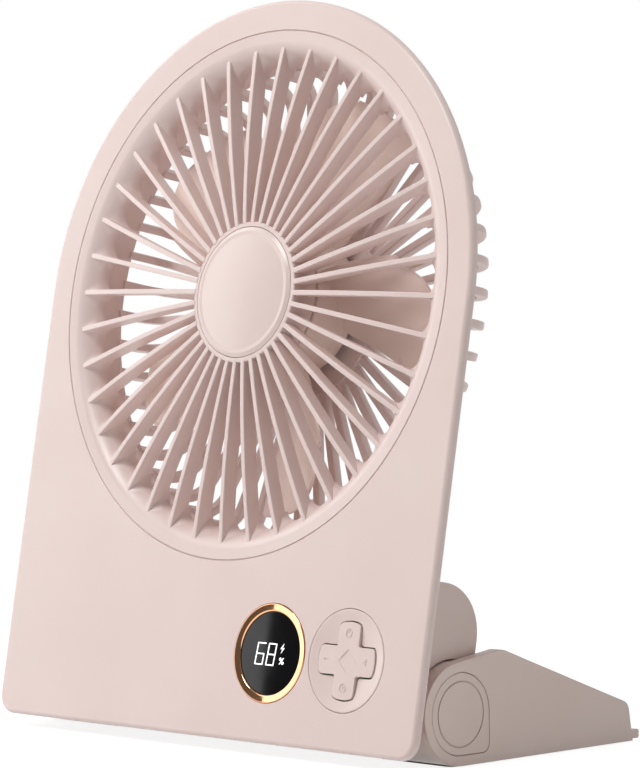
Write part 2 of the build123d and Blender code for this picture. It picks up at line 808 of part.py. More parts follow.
def slot_angles():
    return [360 / stator_slots * i for i in range(stator_slots)]


def stator_core():
    rear = stator_front + stator_length
    core = ring(tube_outer, stator_ring, stator_front, rear)
    shoe = ring(stator_radius - tooth_tip, stator_radius, stator_front, rear)
    opening = block((stator_ring, stator_front - 1, -0.7), (stator_radius + 1, rear + 1, 0.7))
    tooth = block((stator_ring - 0.5, stator_front, -tooth_width / 2),
                  (stator_radius - tooth_tip / 2, rear, tooth_width / 2))
    for angle in slot_angles():
        shoe -= about_fan(opening, angle + 180 / stator_slots)
    return (core + shoe).fuse(*[about_fan(tooth, angle) for angle in slot_angles()])


def motor_windings():
    start, end = stator_ring + 0.3, stator_radius - tooth_tip - 0.3
    near, far = stator_front - winding_swell, stator_front + stator_length + winding_swell
    half = tooth_width / 2
    coil = block((start, near, -half - winding_swell), (end, far, half + winding_swell))
    coil = fillet(coil.edges().filter_by(Axis.X), winding_swell * 0.9)
    coil -= block((start - 1, stator_front, -half), (end + 1, stator_front + stator_length, half))
    return [about_fan(coil, angle) for angle in slot_angles()]


def rotor_cup():
    rear = cup_front + cup_length
    body = disc(cup_radius, cup_front, rear) - disc(magnet_outer, cup_front + cup_wall, rear + 1)
    return body - disc(rotor_boss_radius, cup_front - 1, rear)


def rotor_magnet():
    return ring(magnet_inner, magnet_outer, magnet_front, magnet_front + magnet_length)


def motor_shaft():
    return disc(shaft_radius, rotor_front + rotor_hub_wall, plate_rear - 0.6)


def shaft_clip():
    near = plate_front + clip_gap
    return ring(shaft_radius, clip_radius, near, near + clip_thickness)


def blade_section(x, front_angle, rear_angle, front, rear):
    """Thin four-cornered section across a blade, in the plane at X = x."""
    nose = (front, x * tan(radians(front_angle)))
    tail = (rear, x * tan(radians(rear_angle)))
    run = hypot(tail[0] - nose[0], tail[1] - nose[1])
    off = (-(tail[1] - nose[1]) / run * blade_thickness / 2, (tail[0] - nose[0]) / run * blade_thickness / 2)
    corners = [(nose[0] + off[0], nose[1] + off[1]), (tail[0] + off[0], tail[1] + off[1]),
               (tail[0] - off[0], tail[1] - off[1]), (nose[0] - off[0], nose[1] - off[1])]
    return Plane(origin=(x, 0, 0), x_dir=(0, 1, 0), z_dir=(1, 0, 0)) * make_face(Polyline(*corners, close=True))


def blade():
    start = rotor_hub_radius * 0.86
    span = blade_tip + 1 - start
    sections = []
    for share, front_angle, rear_angle, fall in ((0, 25, -20, 0), (0.35, 20, -20, 0.1), (0.65, 16, -21, 0.3),
                                                 (1, 9, -22, 0.9)):
        sections.append(blade_section(start + share * span, front_angle, rear_angle, blade_front + fall,
                                      blade_rear - fall))
    body = loft(sections)
    body &= disc(blade_tip, 0, cage_depth)
    corner_x, corner_z = blade_tip - blade_corner, -blade_corner_drop
    waste = block((corner_x, 0, corner_z), (corner_x + 3 * blade_corner, cage_depth, corner_z + 3 * blade_corner))
    waste -= disc(blade_corner, -1, cage_depth + 1, corner_x, corner_z)
    return body - waste


def impeller():
    hub = turned([(shaft_radius, rotor_front + rotor_hub_wall), (0, rotor_front + rotor_hub_wall),
                  (0, rotor_front), (rotor_hub_radius - 0.8, rotor_front), (rotor_hub_radius, rotor_front + 0.8),
                  (rotor_hub_radius, rotor_rear), (rotor_inner, rotor_rear),
                  (rotor_inner, rotor_front + rotor_hub_wall), (rotor_boss_radius, rotor_front + rotor_hub_wall),
                  (rotor_boss_radius, cup_front + cup_wall), (shaft_radius, cup_front + cup_wall)])
    hub += ring(rotor_boss_radius + rotor_pad_gap, rotor_inner - rotor_pad_inset,
                rotor_front + rotor_hub_wall / 2, cup_front)
    blades = [about_fan(blade(), blade_phase + 360 / blade_count * i) for i in range(blade_count)]
    return hub.fuse(*blades) - inner_room()


def inner_room():
    """Space inside the impeller's hub, cut again after the blades are joined on."""
    return ring(rotor_boss_radius, rotor_inner, cup_front, rotor_rear + 1)


# ---- head: electronics ----
def cell_centre():
    """Cells rest in the round of the housing's back wall, above the hinge."""
    back, top = housing_depth - housing_wall, panel_bottom + housing_top - housing_wall
    radius = housing_round - housing_wall
    return back - radius, top - cell_radius - 0.1


def cell_right():
    return housing_half_width - housing_wall - cell_right_gap - tab_thickness


def battery_cells():
    y, z = cell_centre()
    cells = []
    for i in range(2):
        right = cell_right() - i * (cell_length + tab_thickness)
        body = rod(cell_radius, right - cell_length, right, y, z)
        body = fillet(body.edges(), 0.5)
        cells.append(body)
    return cells


def battery_tabs():
    y, z = cell_centre()
    tabs = []
    for i in range(3):
        right = cell_right() + tab_thickness - i * (cell_length + tab_thickness)
        tabs.append(block((right - tab_thickness, y - tab_length / 2, z - tab_height / 2),
                          (right, y + tab_length / 2, z + tab_height / 2)))
    return tabs


def main_board():
    left = -housing_half_width + housing_wall + nest_gap
    top = socket_z() + main_board_height / 2
    return block((left, main_board_depth, top - main_board_height),
                 (left + main_board_length - 0.5, main_board_depth + main_board_thickness, top))


def charging_socket():
    left = -housing_half_width + 0.2
    shell = socket_box(0, left, left + socket_length)
    shell -= socket_box(-socket_wall, left - 1, left + socket_length - 0.6)
    y = main_board_depth + main_board_thickness + socket_height / 2
    half_t, half_w = tongue_thickness / 2, tongue_width / 2
    tongue = block((left + tongue_setback, y - half_t, socket_z() - half_w),
                   (left + socket_length - socket_wall, y + half_t, socket_z() + half_w))
    return shell + tongue


# ---- hinge hardware ----
def washer_start():
    return knuckle_inner + base_end_wall


def nut_start():
    return washer_start() + washer_thickness + spring_washer_height + nut_gap


def hinge_pins():
    inner = knuckle_inner - knuckle_side_gap - pin_inside
    outer = nut_start() + nut_thickness + pin_end
    pin = rod(pin_radius, inner, outer, 0, hinge_height)
    pin = chamfer(pin.edges().sort_by(Axis.X)[-1], 0.5)
    return both_sides(pin)


def hinge_washers():
    start = washer_start()
    flat = tube(pin_radius + pin_fit, washer_radius, start, start + washer_thickness, 0, hinge_height)
    near, far = start + washer_thickness, start + washer_thickness + spring_washer_height
    inner = pin_radius + pin_fit
    profile = Polyline((near, spring_washer_radius), (near + 0.5, spring_washer_radius), (far, inner + 1.4),
                       (far, inner), (far - 0.5, inner), (near, spring_washer_radius - 0.8), close=True)
    cone = Pos(0, 0, hinge_height) * revolve(make_face(profile), Axis.X)
    return both_sides(flat) + both_sides(cone)


def hinge_nuts():
    start = nut_start()
    outline = RegularPolygon(nut_width / 2, 6, major_radius=False) - Circle(pin_radius)
    nut = Pos(0, 0, hinge_height) * side_slab(outline, start, start + nut_thickness)
    return both_sides(nut)


# ---- base ----
def cheek_outline():
    """Side outline of a cheek: the barrel, a tangent up to the peak, then the long slope to the rear."""
    reach = hypot(peak_y, peak_z - hinge_height)
    angle = atan2(peak_z - hinge_height, peak_y) + acos(barrel_radius / reach)
    start = (barrel_radius * cos(angle), hinge_height + barrel_radius * sin(angle))
    corner_y = rear_y - rear_lean
    corner = (corner_y, peak_z - (corner_y - peak_y) * tan(radians(cheek_slope)))
    wedge = make_face(Polyline((0, hinge_height), start, (peak_y, peak_z), corner, (rear_y, foot_gap),
                               (0, foot_gap), close=True))
    wedge = fillet(wedge.vertices().sort_by_distance((peak_y, peak_z))[0], peak_round)
    wedge = fillet(wedge.vertices().sort_by_distance(corner)[0], rear_round)
    return wedge + Pos(0, hinge_height) * Circle(barrel_radius)


def side_cap_outline(grow):
    radius = side_cap_radius + grow
    square = Pos(radius / 2, -radius / 2) * Rectangle(radius, radius)
    outline = Circle(radius) + square
    corner = outline.vertices().sort_by_distance((radius, -radius))[0]
    return Pos(0, hinge_height) * fillet(corner, side_cap_corner + grow)


def tray_recess():
    """Hollow under the tray floor, closed by the bottom cover."""
    half = cheek_inner - floor_margin_x
    front, rear = tray_front + floor_margin_front, rear_y - floor_margin_rear
    return (-half, front), (half, rear)


def boss_places():
    (left, front), (right, rear) = tray_recess()
    inset = floor_boss_inset
    return [(x, y) for x in (left + inset, right - inset) for y in (front + inset, rear - inset)]


def foot_mat_outline(grow):
    """Outline of the mat from below: full width at the rear, two legs under the base's barrels."""
    half = base_half - mat_inset + grow
    front, rear = mat_front - grow, mat_rear + grow
    notch = knuckle_inner + mat_inset - grow
    step = tray_front + mat_inset - grow
    outline = Polyline((-half, front), (-notch, front), (-notch, step), (notch, step), (notch, front),
                       (half, front), (half, rear), (-half, rear), close=True)
    sketch = make_face(outline)
    return fillet(sketch.vertices(), mat_corner)


def foot_mat():
    mat = extrude(foot_mat_outline(0), amount=mat_thickness)
    for x, y in boss_places():
        mat -= post(screw_head + mat_screw_room, -1, mat_thickness + 1, x, y)
    return mat


def mat_room():
    """Shallow pocket in the base's underside that the mat lies in."""
    return Pos(0, 0, -1) * extrude(foot_mat_outline(nest_gap), amount=mat_thickness + 1)


def base_shell():
    tray = block((-cheek_inner - 1, tray_front, foot_gap), (cheek_inner + 1, rear_y, tray_top))
    lip = block((-base_half, rear_y - lip_root, lip_bottom), (base_half, rear_y + lip_reach, lip_top))
    lip = fillet(lip.edges().filter_by(Axis.X).sort_by(Axis.Y)[-2:], lip_round)
    body = tray + lip
    cheek = side_slab(cheek_outline(), cheek_inner, base_half)
    barrel = rod(barrel_radius, knuckle_inner, base_half, 0, hinge_height)
    foot = block((knuckle_inner, 0, foot_gap), (cheek_inner + 1, tray_front + 1, tray_top))
    side = cheek + barrel + foot
    side -= rod(bore_radius, washer_start(), base_half + 1, 0, hinge_height)
    side -= rod(pin_radius + pin_fit, knuckle_inner - 1, base_half, 0, hinge_height)
    side -= side_slab(side_cap_outline(nest_gap), base_half - side_cap_recess, base_half + 1)
    body = body + side + mirrored(side) - mat_room()
    (left, front), (right, rear) = tray_recess()
    body -= block((left, front, foot_gap - 1), (right, rear, tray_top - tray_skin))
    for x, y in boss_places():
        body += post(floor_boss_radius, floor_cover_top, tray_top - tray_skin / 2, x, y)
        body -= post(screw_shank, floor_cover_top - 1, tray_top - tray_skin, x, y)
    return body


def base_bottom_cover():
    (left, front), (right, rear) = tray_recess()
    gap = nest_gap
    body = block((left + gap, front + gap, mat_thickness), (right - gap, rear - gap, floor_cover_top))
    for x, y in boss_places():
        body -= post(screw_shank + 0.1, 0, floor_cover_top + 1, x, y)
        body -= post(screw_head + 0.1, 0, mat_thickness + 0.5, x, y)
    return body


def base_screws():
    screws = []
    for x, y in boss_places():
        head = post(screw_head, foot_gap, mat_thickness + 0.5, x, y)
        shank = post(screw_shank, mat_thickness + 0.4, tray_top - tray_skin - 0.2, x, y)
        slot = Pos(x, y, foot_gap) * Box(screw_head * 1.3, 0.5, 0.8)
        cross_slot = Pos(x, y, foot_gap) * Box(0.5, screw_head * 1.3, 0.8)
        screws.append(head + shank - slot - cross_slot)
    return screws


def ballast_plate():
    (left, front), (right, rear) = tray_recess()
    mx, my = ballast_margin_x, ballast_margin_y
    return block((left + mx, front + my, floor_cover_top),
                 (right - mx, rear - my, floor_cover_top + ballast_thickness))


def side_cap():
    outer = base_half
    body = side_slab(side_cap_outline(0), outer - side_cap_thickness, outer)
    body = fillet(body.faces().sort_by(Axis.X)[-1].outer_wire().edges(), 0.25)
    groove = tube(side_cap_ring - groove_width, side_cap_ring, outer - groove_depth, outer + 1, 0, hinge_height)
    spigot = tube(bore_radius - nest_gap - side_cap_spigot_wall, bore_radius - nest_gap,
                  outer - side_cap_thickness - side_cap_spigot, outer - side_cap_thickness + 0.1, 0, hinge_height)
    return body - groove + spigot


def main():
    os.makedirs("parts", exist_ok=True)
    head_nodes = {
        "front_panel": front_panel, "front_grille": front_grille, "hub_cap": hub_cap,
        "display_ring": display_ring, "display_lens": display_lens, "display_module": display_module,
        "display_digits": display_digits, "control_dish": control_dish, "cross_key": cross_key,
        "key_rocker": key_rocker, "key_domes": key_domes, "control_board": control_board,
        "rear_cover": rear_cover, "cover_screws": cover_screws, "rear_grille": rear_grille,
        "rear_hub_cap": rear_hub_cap, "motor_screws": motor_screws, "motor_base": motor_base,
        "motor_bearings": motor_bearings, "motor_board": motor_board, "stator_core": stator_core,
        "motor_windings": motor_windings, "rotor_cup": rotor_cup, "rotor_magnet": rotor_magnet,
        "motor_shaft": motor_shaft, "shaft_clip": shaft_clip, "impeller": impeller,
        "battery_cells": battery_cells, "battery_tabs": battery_tabs, "main_board": main_board,
        "charging_socket": charging_socket,
    }
    base_nodes = {
        "hinge_pins": hinge_pins, "hinge_washers": hinge_washers, "hinge_nuts": hinge_nuts,
        "base_shell": base_shell, "base_bottom_cover": base_bottom_cover, "base_screws": base_screws,
        "ballast_plate": ballast_plate, "foot_mat": foot_mat,
    }
    for name, make in head_nodes.items():
        save(name, make(), head=True)
    for name, make in base_nodes.items():
        save(name, make())
    cap = side_cap()
    save("hinge_side_cap_right", cap)
    save("hinge_side_cap_left", mirrored(cap))


main()
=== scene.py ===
import json
from math import acos, asin, atan2, cos, hypot, pi, radians, sin, sqrt, tan

import bmesh
import bpy
from bpy.props import FloatProperty, FloatVectorProperty, IntProperty, PointerProperty
from bpy.types import Operator, Panel, PropertyGroup
from mathutils import Matrix, Vector


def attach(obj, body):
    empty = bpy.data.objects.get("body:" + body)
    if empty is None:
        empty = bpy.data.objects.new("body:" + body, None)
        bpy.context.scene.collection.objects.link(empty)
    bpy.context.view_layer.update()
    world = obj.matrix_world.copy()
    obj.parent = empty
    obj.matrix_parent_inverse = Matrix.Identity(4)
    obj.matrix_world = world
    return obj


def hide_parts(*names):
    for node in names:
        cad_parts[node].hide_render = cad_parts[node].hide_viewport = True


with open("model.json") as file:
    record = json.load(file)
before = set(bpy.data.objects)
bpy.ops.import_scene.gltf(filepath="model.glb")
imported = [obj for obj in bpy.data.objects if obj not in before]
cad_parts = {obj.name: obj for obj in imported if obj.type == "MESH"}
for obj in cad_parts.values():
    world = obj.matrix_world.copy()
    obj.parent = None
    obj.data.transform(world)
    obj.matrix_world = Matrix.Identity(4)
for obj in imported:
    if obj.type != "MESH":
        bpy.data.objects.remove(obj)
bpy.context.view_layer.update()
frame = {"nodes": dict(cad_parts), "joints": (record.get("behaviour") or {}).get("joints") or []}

bl_info = {
    "name": "Camping Fan",
    "version": (1, 0, 0),
    "blender": (4, 5, 0),
    "location": "3D Viewport > Sidebar > Camping Fan",
    "description": "Dresses the folding camping fan's construction with its moulded covers, grilles and finishes",
    "category": "Add Mesh",
}

MM = 0.001
FULL_TURN = 2 * pi
TINY = 1e-9
WHITE = (1.0, 1.0, 1.0, 1.0)

# Steps round a circle, by the size of the piece.
ROUND_WIDE = 256
ROUND_HUB = 160
ROUND_DISC = 128
ROUND_HOLE = 96

# Flange on which the display's ring and the control dish lie behind the panel.
FLANGE_WIDTH = 0.6 * MM
FLANGE_THICKNESS = 0.4 * MM

# The head's own directions: across the panel, into the head and up along the panel.
JOINTS = {joint["name"]: joint for joint in frame["joints"]}
HINGE = Vector(JOINTS["head_tilt"]["pos_m"])
ACROSS = Vector((1, 0, 0))
INWARD = Vector(JOINTS["impeller_spin"]["axis"]).normalized()
UPWARD = ACROSS.cross(INWARD)


# ---- properties ----
def length(name, millimetres, description):
    """Size in metres, given in millimetres."""
    return FloatProperty(name=name, description=description, default=millimetres * MM, unit="LENGTH", precision=5)


def turn(name, degrees, description):
    return FloatProperty(name=name, description=description, default=radians(degrees), unit="ROTATION")


def number(name, value, description):
    return FloatProperty(name=name, description=description, default=value)


def share(name, value, description):
    return FloatProperty(name=name, description=description, default=value, min=0, max=1, subtype="FACTOR")


def count(name, value, description):
    return IntProperty(name=name, description=description, default=value, min=1)


def power(name, watts, description):
    return FloatProperty(name=name, description=description, default=watts, min=0, unit="POWER")


def spot(name, point, description):
    """Point in metres."""
    return FloatVectorProperty(name=name, description=description, default=point, size=3, unit="LENGTH",
                               precision=4)


def tint(name, red, green, blue, description):
    """Colour given as display values from 0 to 255."""
    linear = [((v / 255 + 0.055) / 1.055) ** 2.4 for v in (red, green, blue)]
    return FloatVectorProperty(name=name, description=description, default=linear, size=3, subtype="COLOR",
                               min=0, max=1)


class FanPanelSizes(PropertyGroup):
    border: length("Border", 9.17, "Seam round the grille to the panel's edge")
    drop: length("Drop", 130.2, "Fan centre down to the panel's bottom edge")
    hinge_rise: length("Hinge rise", 15.0, "Hinge axis above the panel's bottom edge")
    hinge_setback: length("Hinge setback", 20.2, "Hinge axis behind the panel's face")
    corner: length("Corner", 6.0, "Radius of the two bottom corners")
    rim: length("Rim", 2.9, "Thickness at the panel's edge")
    skin: length("Skin", 1.8, "Thickness inside the edge")
    front_edge: length("Front edge", 1.32, "Rounding of the front edge")
    rear_edge: length("Rear edge", 0.7, "Rounding of the rear edge")
    rim_width: length("Rim width", 6.65, "Width of the thick rim behind the edge")
    seam: length("Seam", 0.3, "Width of the seams between mouldings")
    seam_depth: length("Seam depth", 0.45, "Depth of the seam round the grille")
    softness: length("Softness", 0.22, "Rounding of small moulded edges")


class FanGrilleSizes(PropertyGroup):
    duct: length("Duct", 70.0, "Inner radius of the air duct")
    bell: length("Bell", 5.8, "Width of the curve from the face into the duct")
    bell_depth: length("Bell depth", 6.2, "Depth of the curve from the face into the duct")
    face: length("Face", 3.0, "Face between the bell mouth and the seam")
    bell_bulge: number("Bell bulge", 1.65, "Shape of the bell's curve: 1 is a plain cone, 2 an ellipse")
    face_fall: length("Face fall", 0.2, "How far the face falls towards the bell mouth")
    wall: length("Wall", 1.4, "Duct wall")
    depth: length("Depth", 13.6, "Length of the duct")
    flange: length("Flange", 0.85, "Flange behind the panel")
    ribs: count("Ribs", 40, "Number of curved ribs")
    rib: length("Rib", 1.5, "Thickness of a rib at its front edge")
    rib_rear: length("Rib rear", 0.6, "Thickness of a rib at its rear edge")
    rib_depth: length("Rib depth", 5.5, "Front edge to rear edge of a rib")
    rib_straight: length("Rib straight", 2.2, "Depth over which a rib keeps its full thickness")
    rib_in: length("Rib inner depth", -2.75, "Depth of a rib's front edge at the hub")
    rib_middle: length("Rib middle depth", -1.95, "Depth of a rib's front edge half way out")
    rib_out: length("Rib outer depth", 0.85, "Depth of a rib's front edge at the bell mouth")
    web: length("Web", 3.8, "How far the web at each rib's root reaches inwards")
    web_width: length("Web width", 5.0, "Reach of a web to each side of its rib")
    web_rise: length("Web rise", 2.6, "Depth over which a web grows to its full width")
    hub: length("Hub", 21.0, "Radius of the hub ring")
    hub_front: length("Hub front", -2.6, "Depth of the hub ring's front face")
    hub_rear: length("Hub rear", 6.5, "Depth of the hub ring's rear edge")
    hub_wall: length("Hub wall", 1.6, "Wall of the hub")
    cap: length("Cap", 19.4, "Radius of the hub cap")
    cap_thickness: length("Cap thickness", 1.6, "Depth of the hub cap's seat")
    cap_slope: length("Cap slope", 1.2, "Width of the slope round the cap, and of the one inside its crest")
    cap_rise: length("Cap rise", 0.55, "How far the crest stands above the hub ring")
    cap_fall: length("Cap fall", 0.06, "How far the face starts below the crest")
    cap_front: length("Cap front", 1.4, "How far the middle of the cap stands above the hub ring")


class FanRearSizes(PropertyGroup):
    vanes: count("Vanes", 48, "Number of vanes round the rear grille")
    phase: turn("Phase", 3.75, "Angle of the first vane above the horizontal")
    vane: length("Vane", 2.4, "Thickness of a vane")
    band: length("Band", 3.2, "Width of a vane's section in its own plane")
    vane_edge: length("Vane edge", 0.5, "Rounding of a vane's edges")
    cage: length("Cage", 72.6, "Outer radius of the rear grille")
    depth: length("Depth", 29.4, "Panel's face to the rear grille's back")
    corner: length("Corner", 8.5, "Radius of each vane's bend")
    disc: length("Disc", 27.0, "Radius of the rear disc")
    cap: length("Cap", 20.0, "Radius of the rear cap")
    cap_dome: length("Cap dome", 0.4, "How far the rear cap is domed")


class FanImpellerSizes(PropertyGroup):
    blades: count("Blades", 5, "Number of blades")
    phase: turn("Phase", -1.0, "Angle of the first blade above the horizontal")
    tip: length("Tip", 63.8, "Radius of the blade tips")
    thickness: length("Thickness", 1.5, "Thickness of a blade at its middle")
    front: length("Front", 9.6, "Depth of the blades' front edges")
    rear: length("Rear", 22.4, "Depth of the blades' rear edges")
    corner: length("Corner", 15.5, "Rounding of a blade's outer front corner")
    corner_drop: length("Corner drop", 4.5, "How far below the blade's middle line that rounding is centred")
    hub: length("Hub", 20.8, "Radius of the impeller's hub")
    hub_wall: length("Hub wall", 1.6, "Wall of the impeller's hub")
    hub_front: length("Hub front", 7.5, "Depth of the hub's front face")
    hub_depth: length("Hub depth", 16.0, "Depth of the hub's wall")


class FanControlSizes(PropertyGroup):
    rise: length("Rise", 25.9, "Display and key above the panel's bottom edge")
    display: length("Display", 27.0, "Display to the right of the middle")
    ring: length("Ring", 14.3, "Outer radius of the display's ring")
    ring_width: length("Ring width", 2.2, "Width of the display's ring")
    ring_proud: length("Ring proud", 0.15, "How far the ring stands out")
    ring_edge: length("Ring edge", 0.2, "Width of the ring's outer edge")
    ring_fall: length("Ring fall", 0.15, "How far the ring's face falls inwards")
    ring_bevel: length("Ring bevel", 0.15, "Width of the steeper slope down to the glass")
    lens: length("Lens", 0.5, "Depth of the display's glass")
    lens_thickness: length("Lens thickness", 0.9, "Thickness of the display's glass")
    digit_height: length("Digit height", 6.5, "Height of the digits")
    digit_width: length("Digit width", 3.35, "Width of a digit")
    digit_pitch: length("Digit pitch", 4.5, "Distance between the digits")
    digit_stroke: length("Digit stroke", 0.38, "Width of the digits' strokes")
    digit_lean: share("Digit lean", 0.1, "Sideways lean of the digits")
    dish: length("Dish", 57.9, "Dish to the right of the middle")
    dish_radius: length("Dish radius", 14.7, "Outer radius of the dish")
    dish_bowl: length("Dish bowl", 1.5, "Depth of the bowl")
    dish_rim: length("Dish rim", 0.5, "Flat rim round the bowl")
    reach: length("Reach", 11.1, "Length of each arm of the cross key")
    arm: length("Arm", 8.2, "Width of an arm")
    gap: length("Gap", 0.38, "Gap round the cross key")
    key_corner: length("Key corner", 1.4, "Rounding of the arms' outer corners")
    key_top: length("Key top", 0.15, "Depth of the cross key's face")
    key_thickness: length("Key thickness", 1.5, "Thickness of the cross key")
    key_edge: length("Key edge", 0.18, "Rounding of the key's edges")
    diamond: length("Diamond", 3.6, "Half diagonal of the diamond in the key")
    diamond_wall: length("Diamond wall", 0.32, "Width of the diamond's sloping wall")
    diamond_depth: length("Diamond depth", 0.28, "Depth of the diamond")
    icon_place: length("Icon place", 7.8, "Signs on the key to its middle")
    icon_size: length("Icon size", 1.3, "Radius of the signs on the key")
    engraving: length("Engraving", 0.2, "Depth of the signs on the key")


class FanBaseSizes(PropertyGroup):
    edge: length("Edge", 0.5, "Rounding of the edges of the base and its side caps")


class FanFinishes(PropertyGroup):
    housing: tint("Housing", 234, 214, 209, "Satin plastic of the panel, grilles and caps")
    housing_deep: tint("Housing deep tone", 231, 210, 204, "Second tone that drifts over the housing plastic")
    # Base tones: the housing's pink darkened as painted shade for the base's shaded sides.
    base: tint("Base", 229, 209, 201, "Plastic of the base and its side caps")
    base_painted_shade_deep: tint("Base deep tone", 226, 205, 196, "Second tone of the base's plastic")
    # Rear cover tones: the housing's pink darkened as painted shade for the cover's shaded sides.
    cover: tint("Rear cover", 219, 199, 192, "Plastic of the rear cover")
    cover_painted_shade_deep: tint("Rear cover deep tone", 216, 195, 187, "Second tone of the rear cover's plastic")
    # Blade tones: lighter than the housing's pink, as painted light that brightens the impeller deep in the duct.
    blade: tint("Blade", 242, 222, 214, "Plastic of the impeller")
    blade_painted_light_deep: tint("Blade deep tone", 238, 216, 206, "Second tone of the impeller's plastic")
    ring: tint("Ring", 255, 194, 148, "Polished metal of the display's ring")
    ring_deep: tint("Ring deep tone", 250, 186, 140, "Second tone of the display's ring")
    glass: tint("Glass", 7, 7, 8, "Black glass of the display")
    # Mat tone: dark rubber, whose dark line along the whole bottom also stands in for the shade in the thin gap
    # under the base, as painted shade.
    rubber: tint("Rubber", 120, 106, 101, "Anti-slip mat")
    sheen: share("Sheen", 0.34, "Roughness of the satin plastic")
    cap_sheen: share("Cap sheen", 0.22, "Roughness of the smoother hub cap")


class FanStageSettings(PropertyGroup):
    floor: length("Floor", 3000, "Radius of the floor")
    glow: share("Glow", 0.86, "Share of the floor's white that shadows don't reach")
    side_power: power("Side light", 12.9, "Power of the tall soft light at the front left")
    side_width: length("Side light width", 1100, "Width of the side light")
    side_height: length("Side light height", 1900, "Height of the side light")
    side_edge: spot("Side light edge", (-1.121, -1.137, 0.29), "A point on the side light's right edge")
    side_roll: turn("Side light roll", 9.0, "Lean of the side light's edge")
    side_lift: length("Side light lift", 700, "Middle of the side light above that point")
    top_power: power("Top light", 23.4, "Power of the soft light above")
    top_size: length("Top light size", 800, "Size of the top light")
    top_place: spot("Top light place", (-0.25, -1.3, 1.7), "Where the top light hangs")
    ambient: share("Ambient", 0.7, "Strength of the even light all round")
    dim_front: share("Dim front", 0.12, "Strength of the surroundings straight in front of the fan")
    dim_direction: turn("Dim direction", 12, "Direction of the dim part of the surroundings, from straight ahead")
    dim_core: turn("Dim core", 52, "Angle from there within which the surroundings stay dim")
    dim_reach: turn("Dim reach", 108, "Angle from there at which they are bright again")
    azimuth: turn("Camera azimuth", 45.238, "Direction of the camera round the fan")
    elevation: turn("Camera elevation", 2.351, "Height angle of the camera")
    roll: turn("Camera roll", -0.563, "Roll of the camera")
    lens: FloatProperty(name="Lens", description="Focal length of the camera", default=187.33, unit="CAMERA")
    camera: spot("Camera place", (0.847244, -0.84403, 0.15319), "Where the camera stands")


# ---- outlines: lists of flat points ----
def arc(centre, radius, start, end, steps):
    """Points on a round stretch from angle start to angle end."""
    angles = [start + (end - start) * i / steps for i in range(steps + 1)]
    return [(centre[0] + radius * cos(a), centre[1] + radius * sin(a)) for a in angles]


def rounded(corners, steps=4, closed=True):
    """Outline through (x, y, radius) corners, each rounded to its own radius."""
    points, last = [], len(corners) - 1
    for i, (x, y, radius) in enumerate(corners):
        corner = Vector((x, y))
        if radius <= 0 or (not closed and i in (0, last)):
            points.append((x, y))
            continue
        back = (Vector(corners[i - 1][:2]) - corner).normalized()
        ahead = (Vector(corners[(i + 1) % len(corners)][:2]) - corner).normalized()
        half = acos(max(-1, min(1, back.dot(ahead)))) / 2
        centre = corner + (back + ahead).normalized() * radius / sin(half)
        start = corner + back * radius / tan(half) - centre
        sweep = (pi - 2 * half) * (1 if back.x * ahead.y - back.y * ahead.x < 0 else -1)
        for k in range(steps + 1):
            angle = atan2(start.y, start.x) + sweep * k / steps
            points.append((centre.x + radius * cos(angle), centre.y + radius * sin(angle)))
    return points


def subdivided(outline, step):
    """The same closed outline with no stretch longer than step."""
    points = []
    for (x0, y0), (x1, y1) in zip(outline, outline[1:] + outline[:1]):
        pieces = max(1, int(hypot(x1 - x0, y1 - y0) / step + 0.999))
        points += [(x0 + (x1 - x0) * i / pieces, y0 + (y1 - y0) * i / pieces) for i in range(pieces)]
    return points


def circle(radius, steps, centre=(0, 0)):
    return arc(centre, radius, 0, FULL_TURN * (1 - 1 / steps), steps - 1)


def rectangle(low, high, corner=0.0):
    return rounded([(low[0], low[1], corner), (high[0], low[1], corner), (high[0], high[1], corner),
                    (low[0], high[1], corner)])


def moved(outline, x, y):
    return [(px + x, py + y) for px, py in outline]


def arch(radius, drop, corner, steps=96):
    """Face-on outline of the head: a half circle over straight sides and rounded bottom corners."""
    top = arc((0, 0), radius, 0, pi, steps)
    low_left = arc((-radius + corner, -drop + corner), corner, pi, 1.5 * pi, 10)
    low_right = arc((radius - corner, -drop + corner), corner, 1.5 * pi, FULL_TURN, 10)
    return top + low_left + low_right


# ---- surfaces ----
def face_on(outline, depth):
    """Outline in the panel's plane, put at a depth behind its face."""
    return [(x, depth, z) for x, z in outline]


def join_loops(bm, first, second):
    """Strip of faces between two closed rows of vertices; a row may be a single vertex."""
    steps = max(len(first), len(second))
    for i in range(steps):
        j = (i + 1) % steps
        ring = [first[i % len(first)], first[j % len(first)], second[j % len(second)], second[i % len(second)]]
        corners = list(dict.fromkeys(ring))
        if len(corners) > 2:
            bm.faces.new(corners)


def skin(bm, rows, capped=False, ring=False):
    """Tube through closed rows of points, left open, capped, or joined end to end."""
    loops = [[bm.verts.new(point) for point in row] for row in rows]
    for first, second in zip(loops, loops[1:]):
        join_loops(bm, first, second)
    if ring:
        join_loops(bm, loops[-1], loops[0])
    if capped:
        bm.faces.new(loops[0])
        bm.faces.new(loops[-1])
    return loops


def fill(bm, *loops):
    """Flat face inside the first loop of vertices, with the other loops as holes."""
    edges = []
    for loop in loops:
        for a, b in zip(loop, loop[1:] + loop[:1]):
            edges.append(bm.edges.get((a, b)) or bm.edges.new((a, b)))
    bmesh.ops.triangle_fill(bm, use_beauty=True, use_dissolve=False, edges=edges)


def lathe(bm, profile, steps, centre=(0.0, 0.0), ring=True):
    """Solid of revolution about the fan's axis, or beside it, from (radius, depth) points."""
    skin(bm, [face_on(circle(radius, steps, centre) if radius > TINY else [centre], depth)
              for radius, depth in profile], ring=ring)


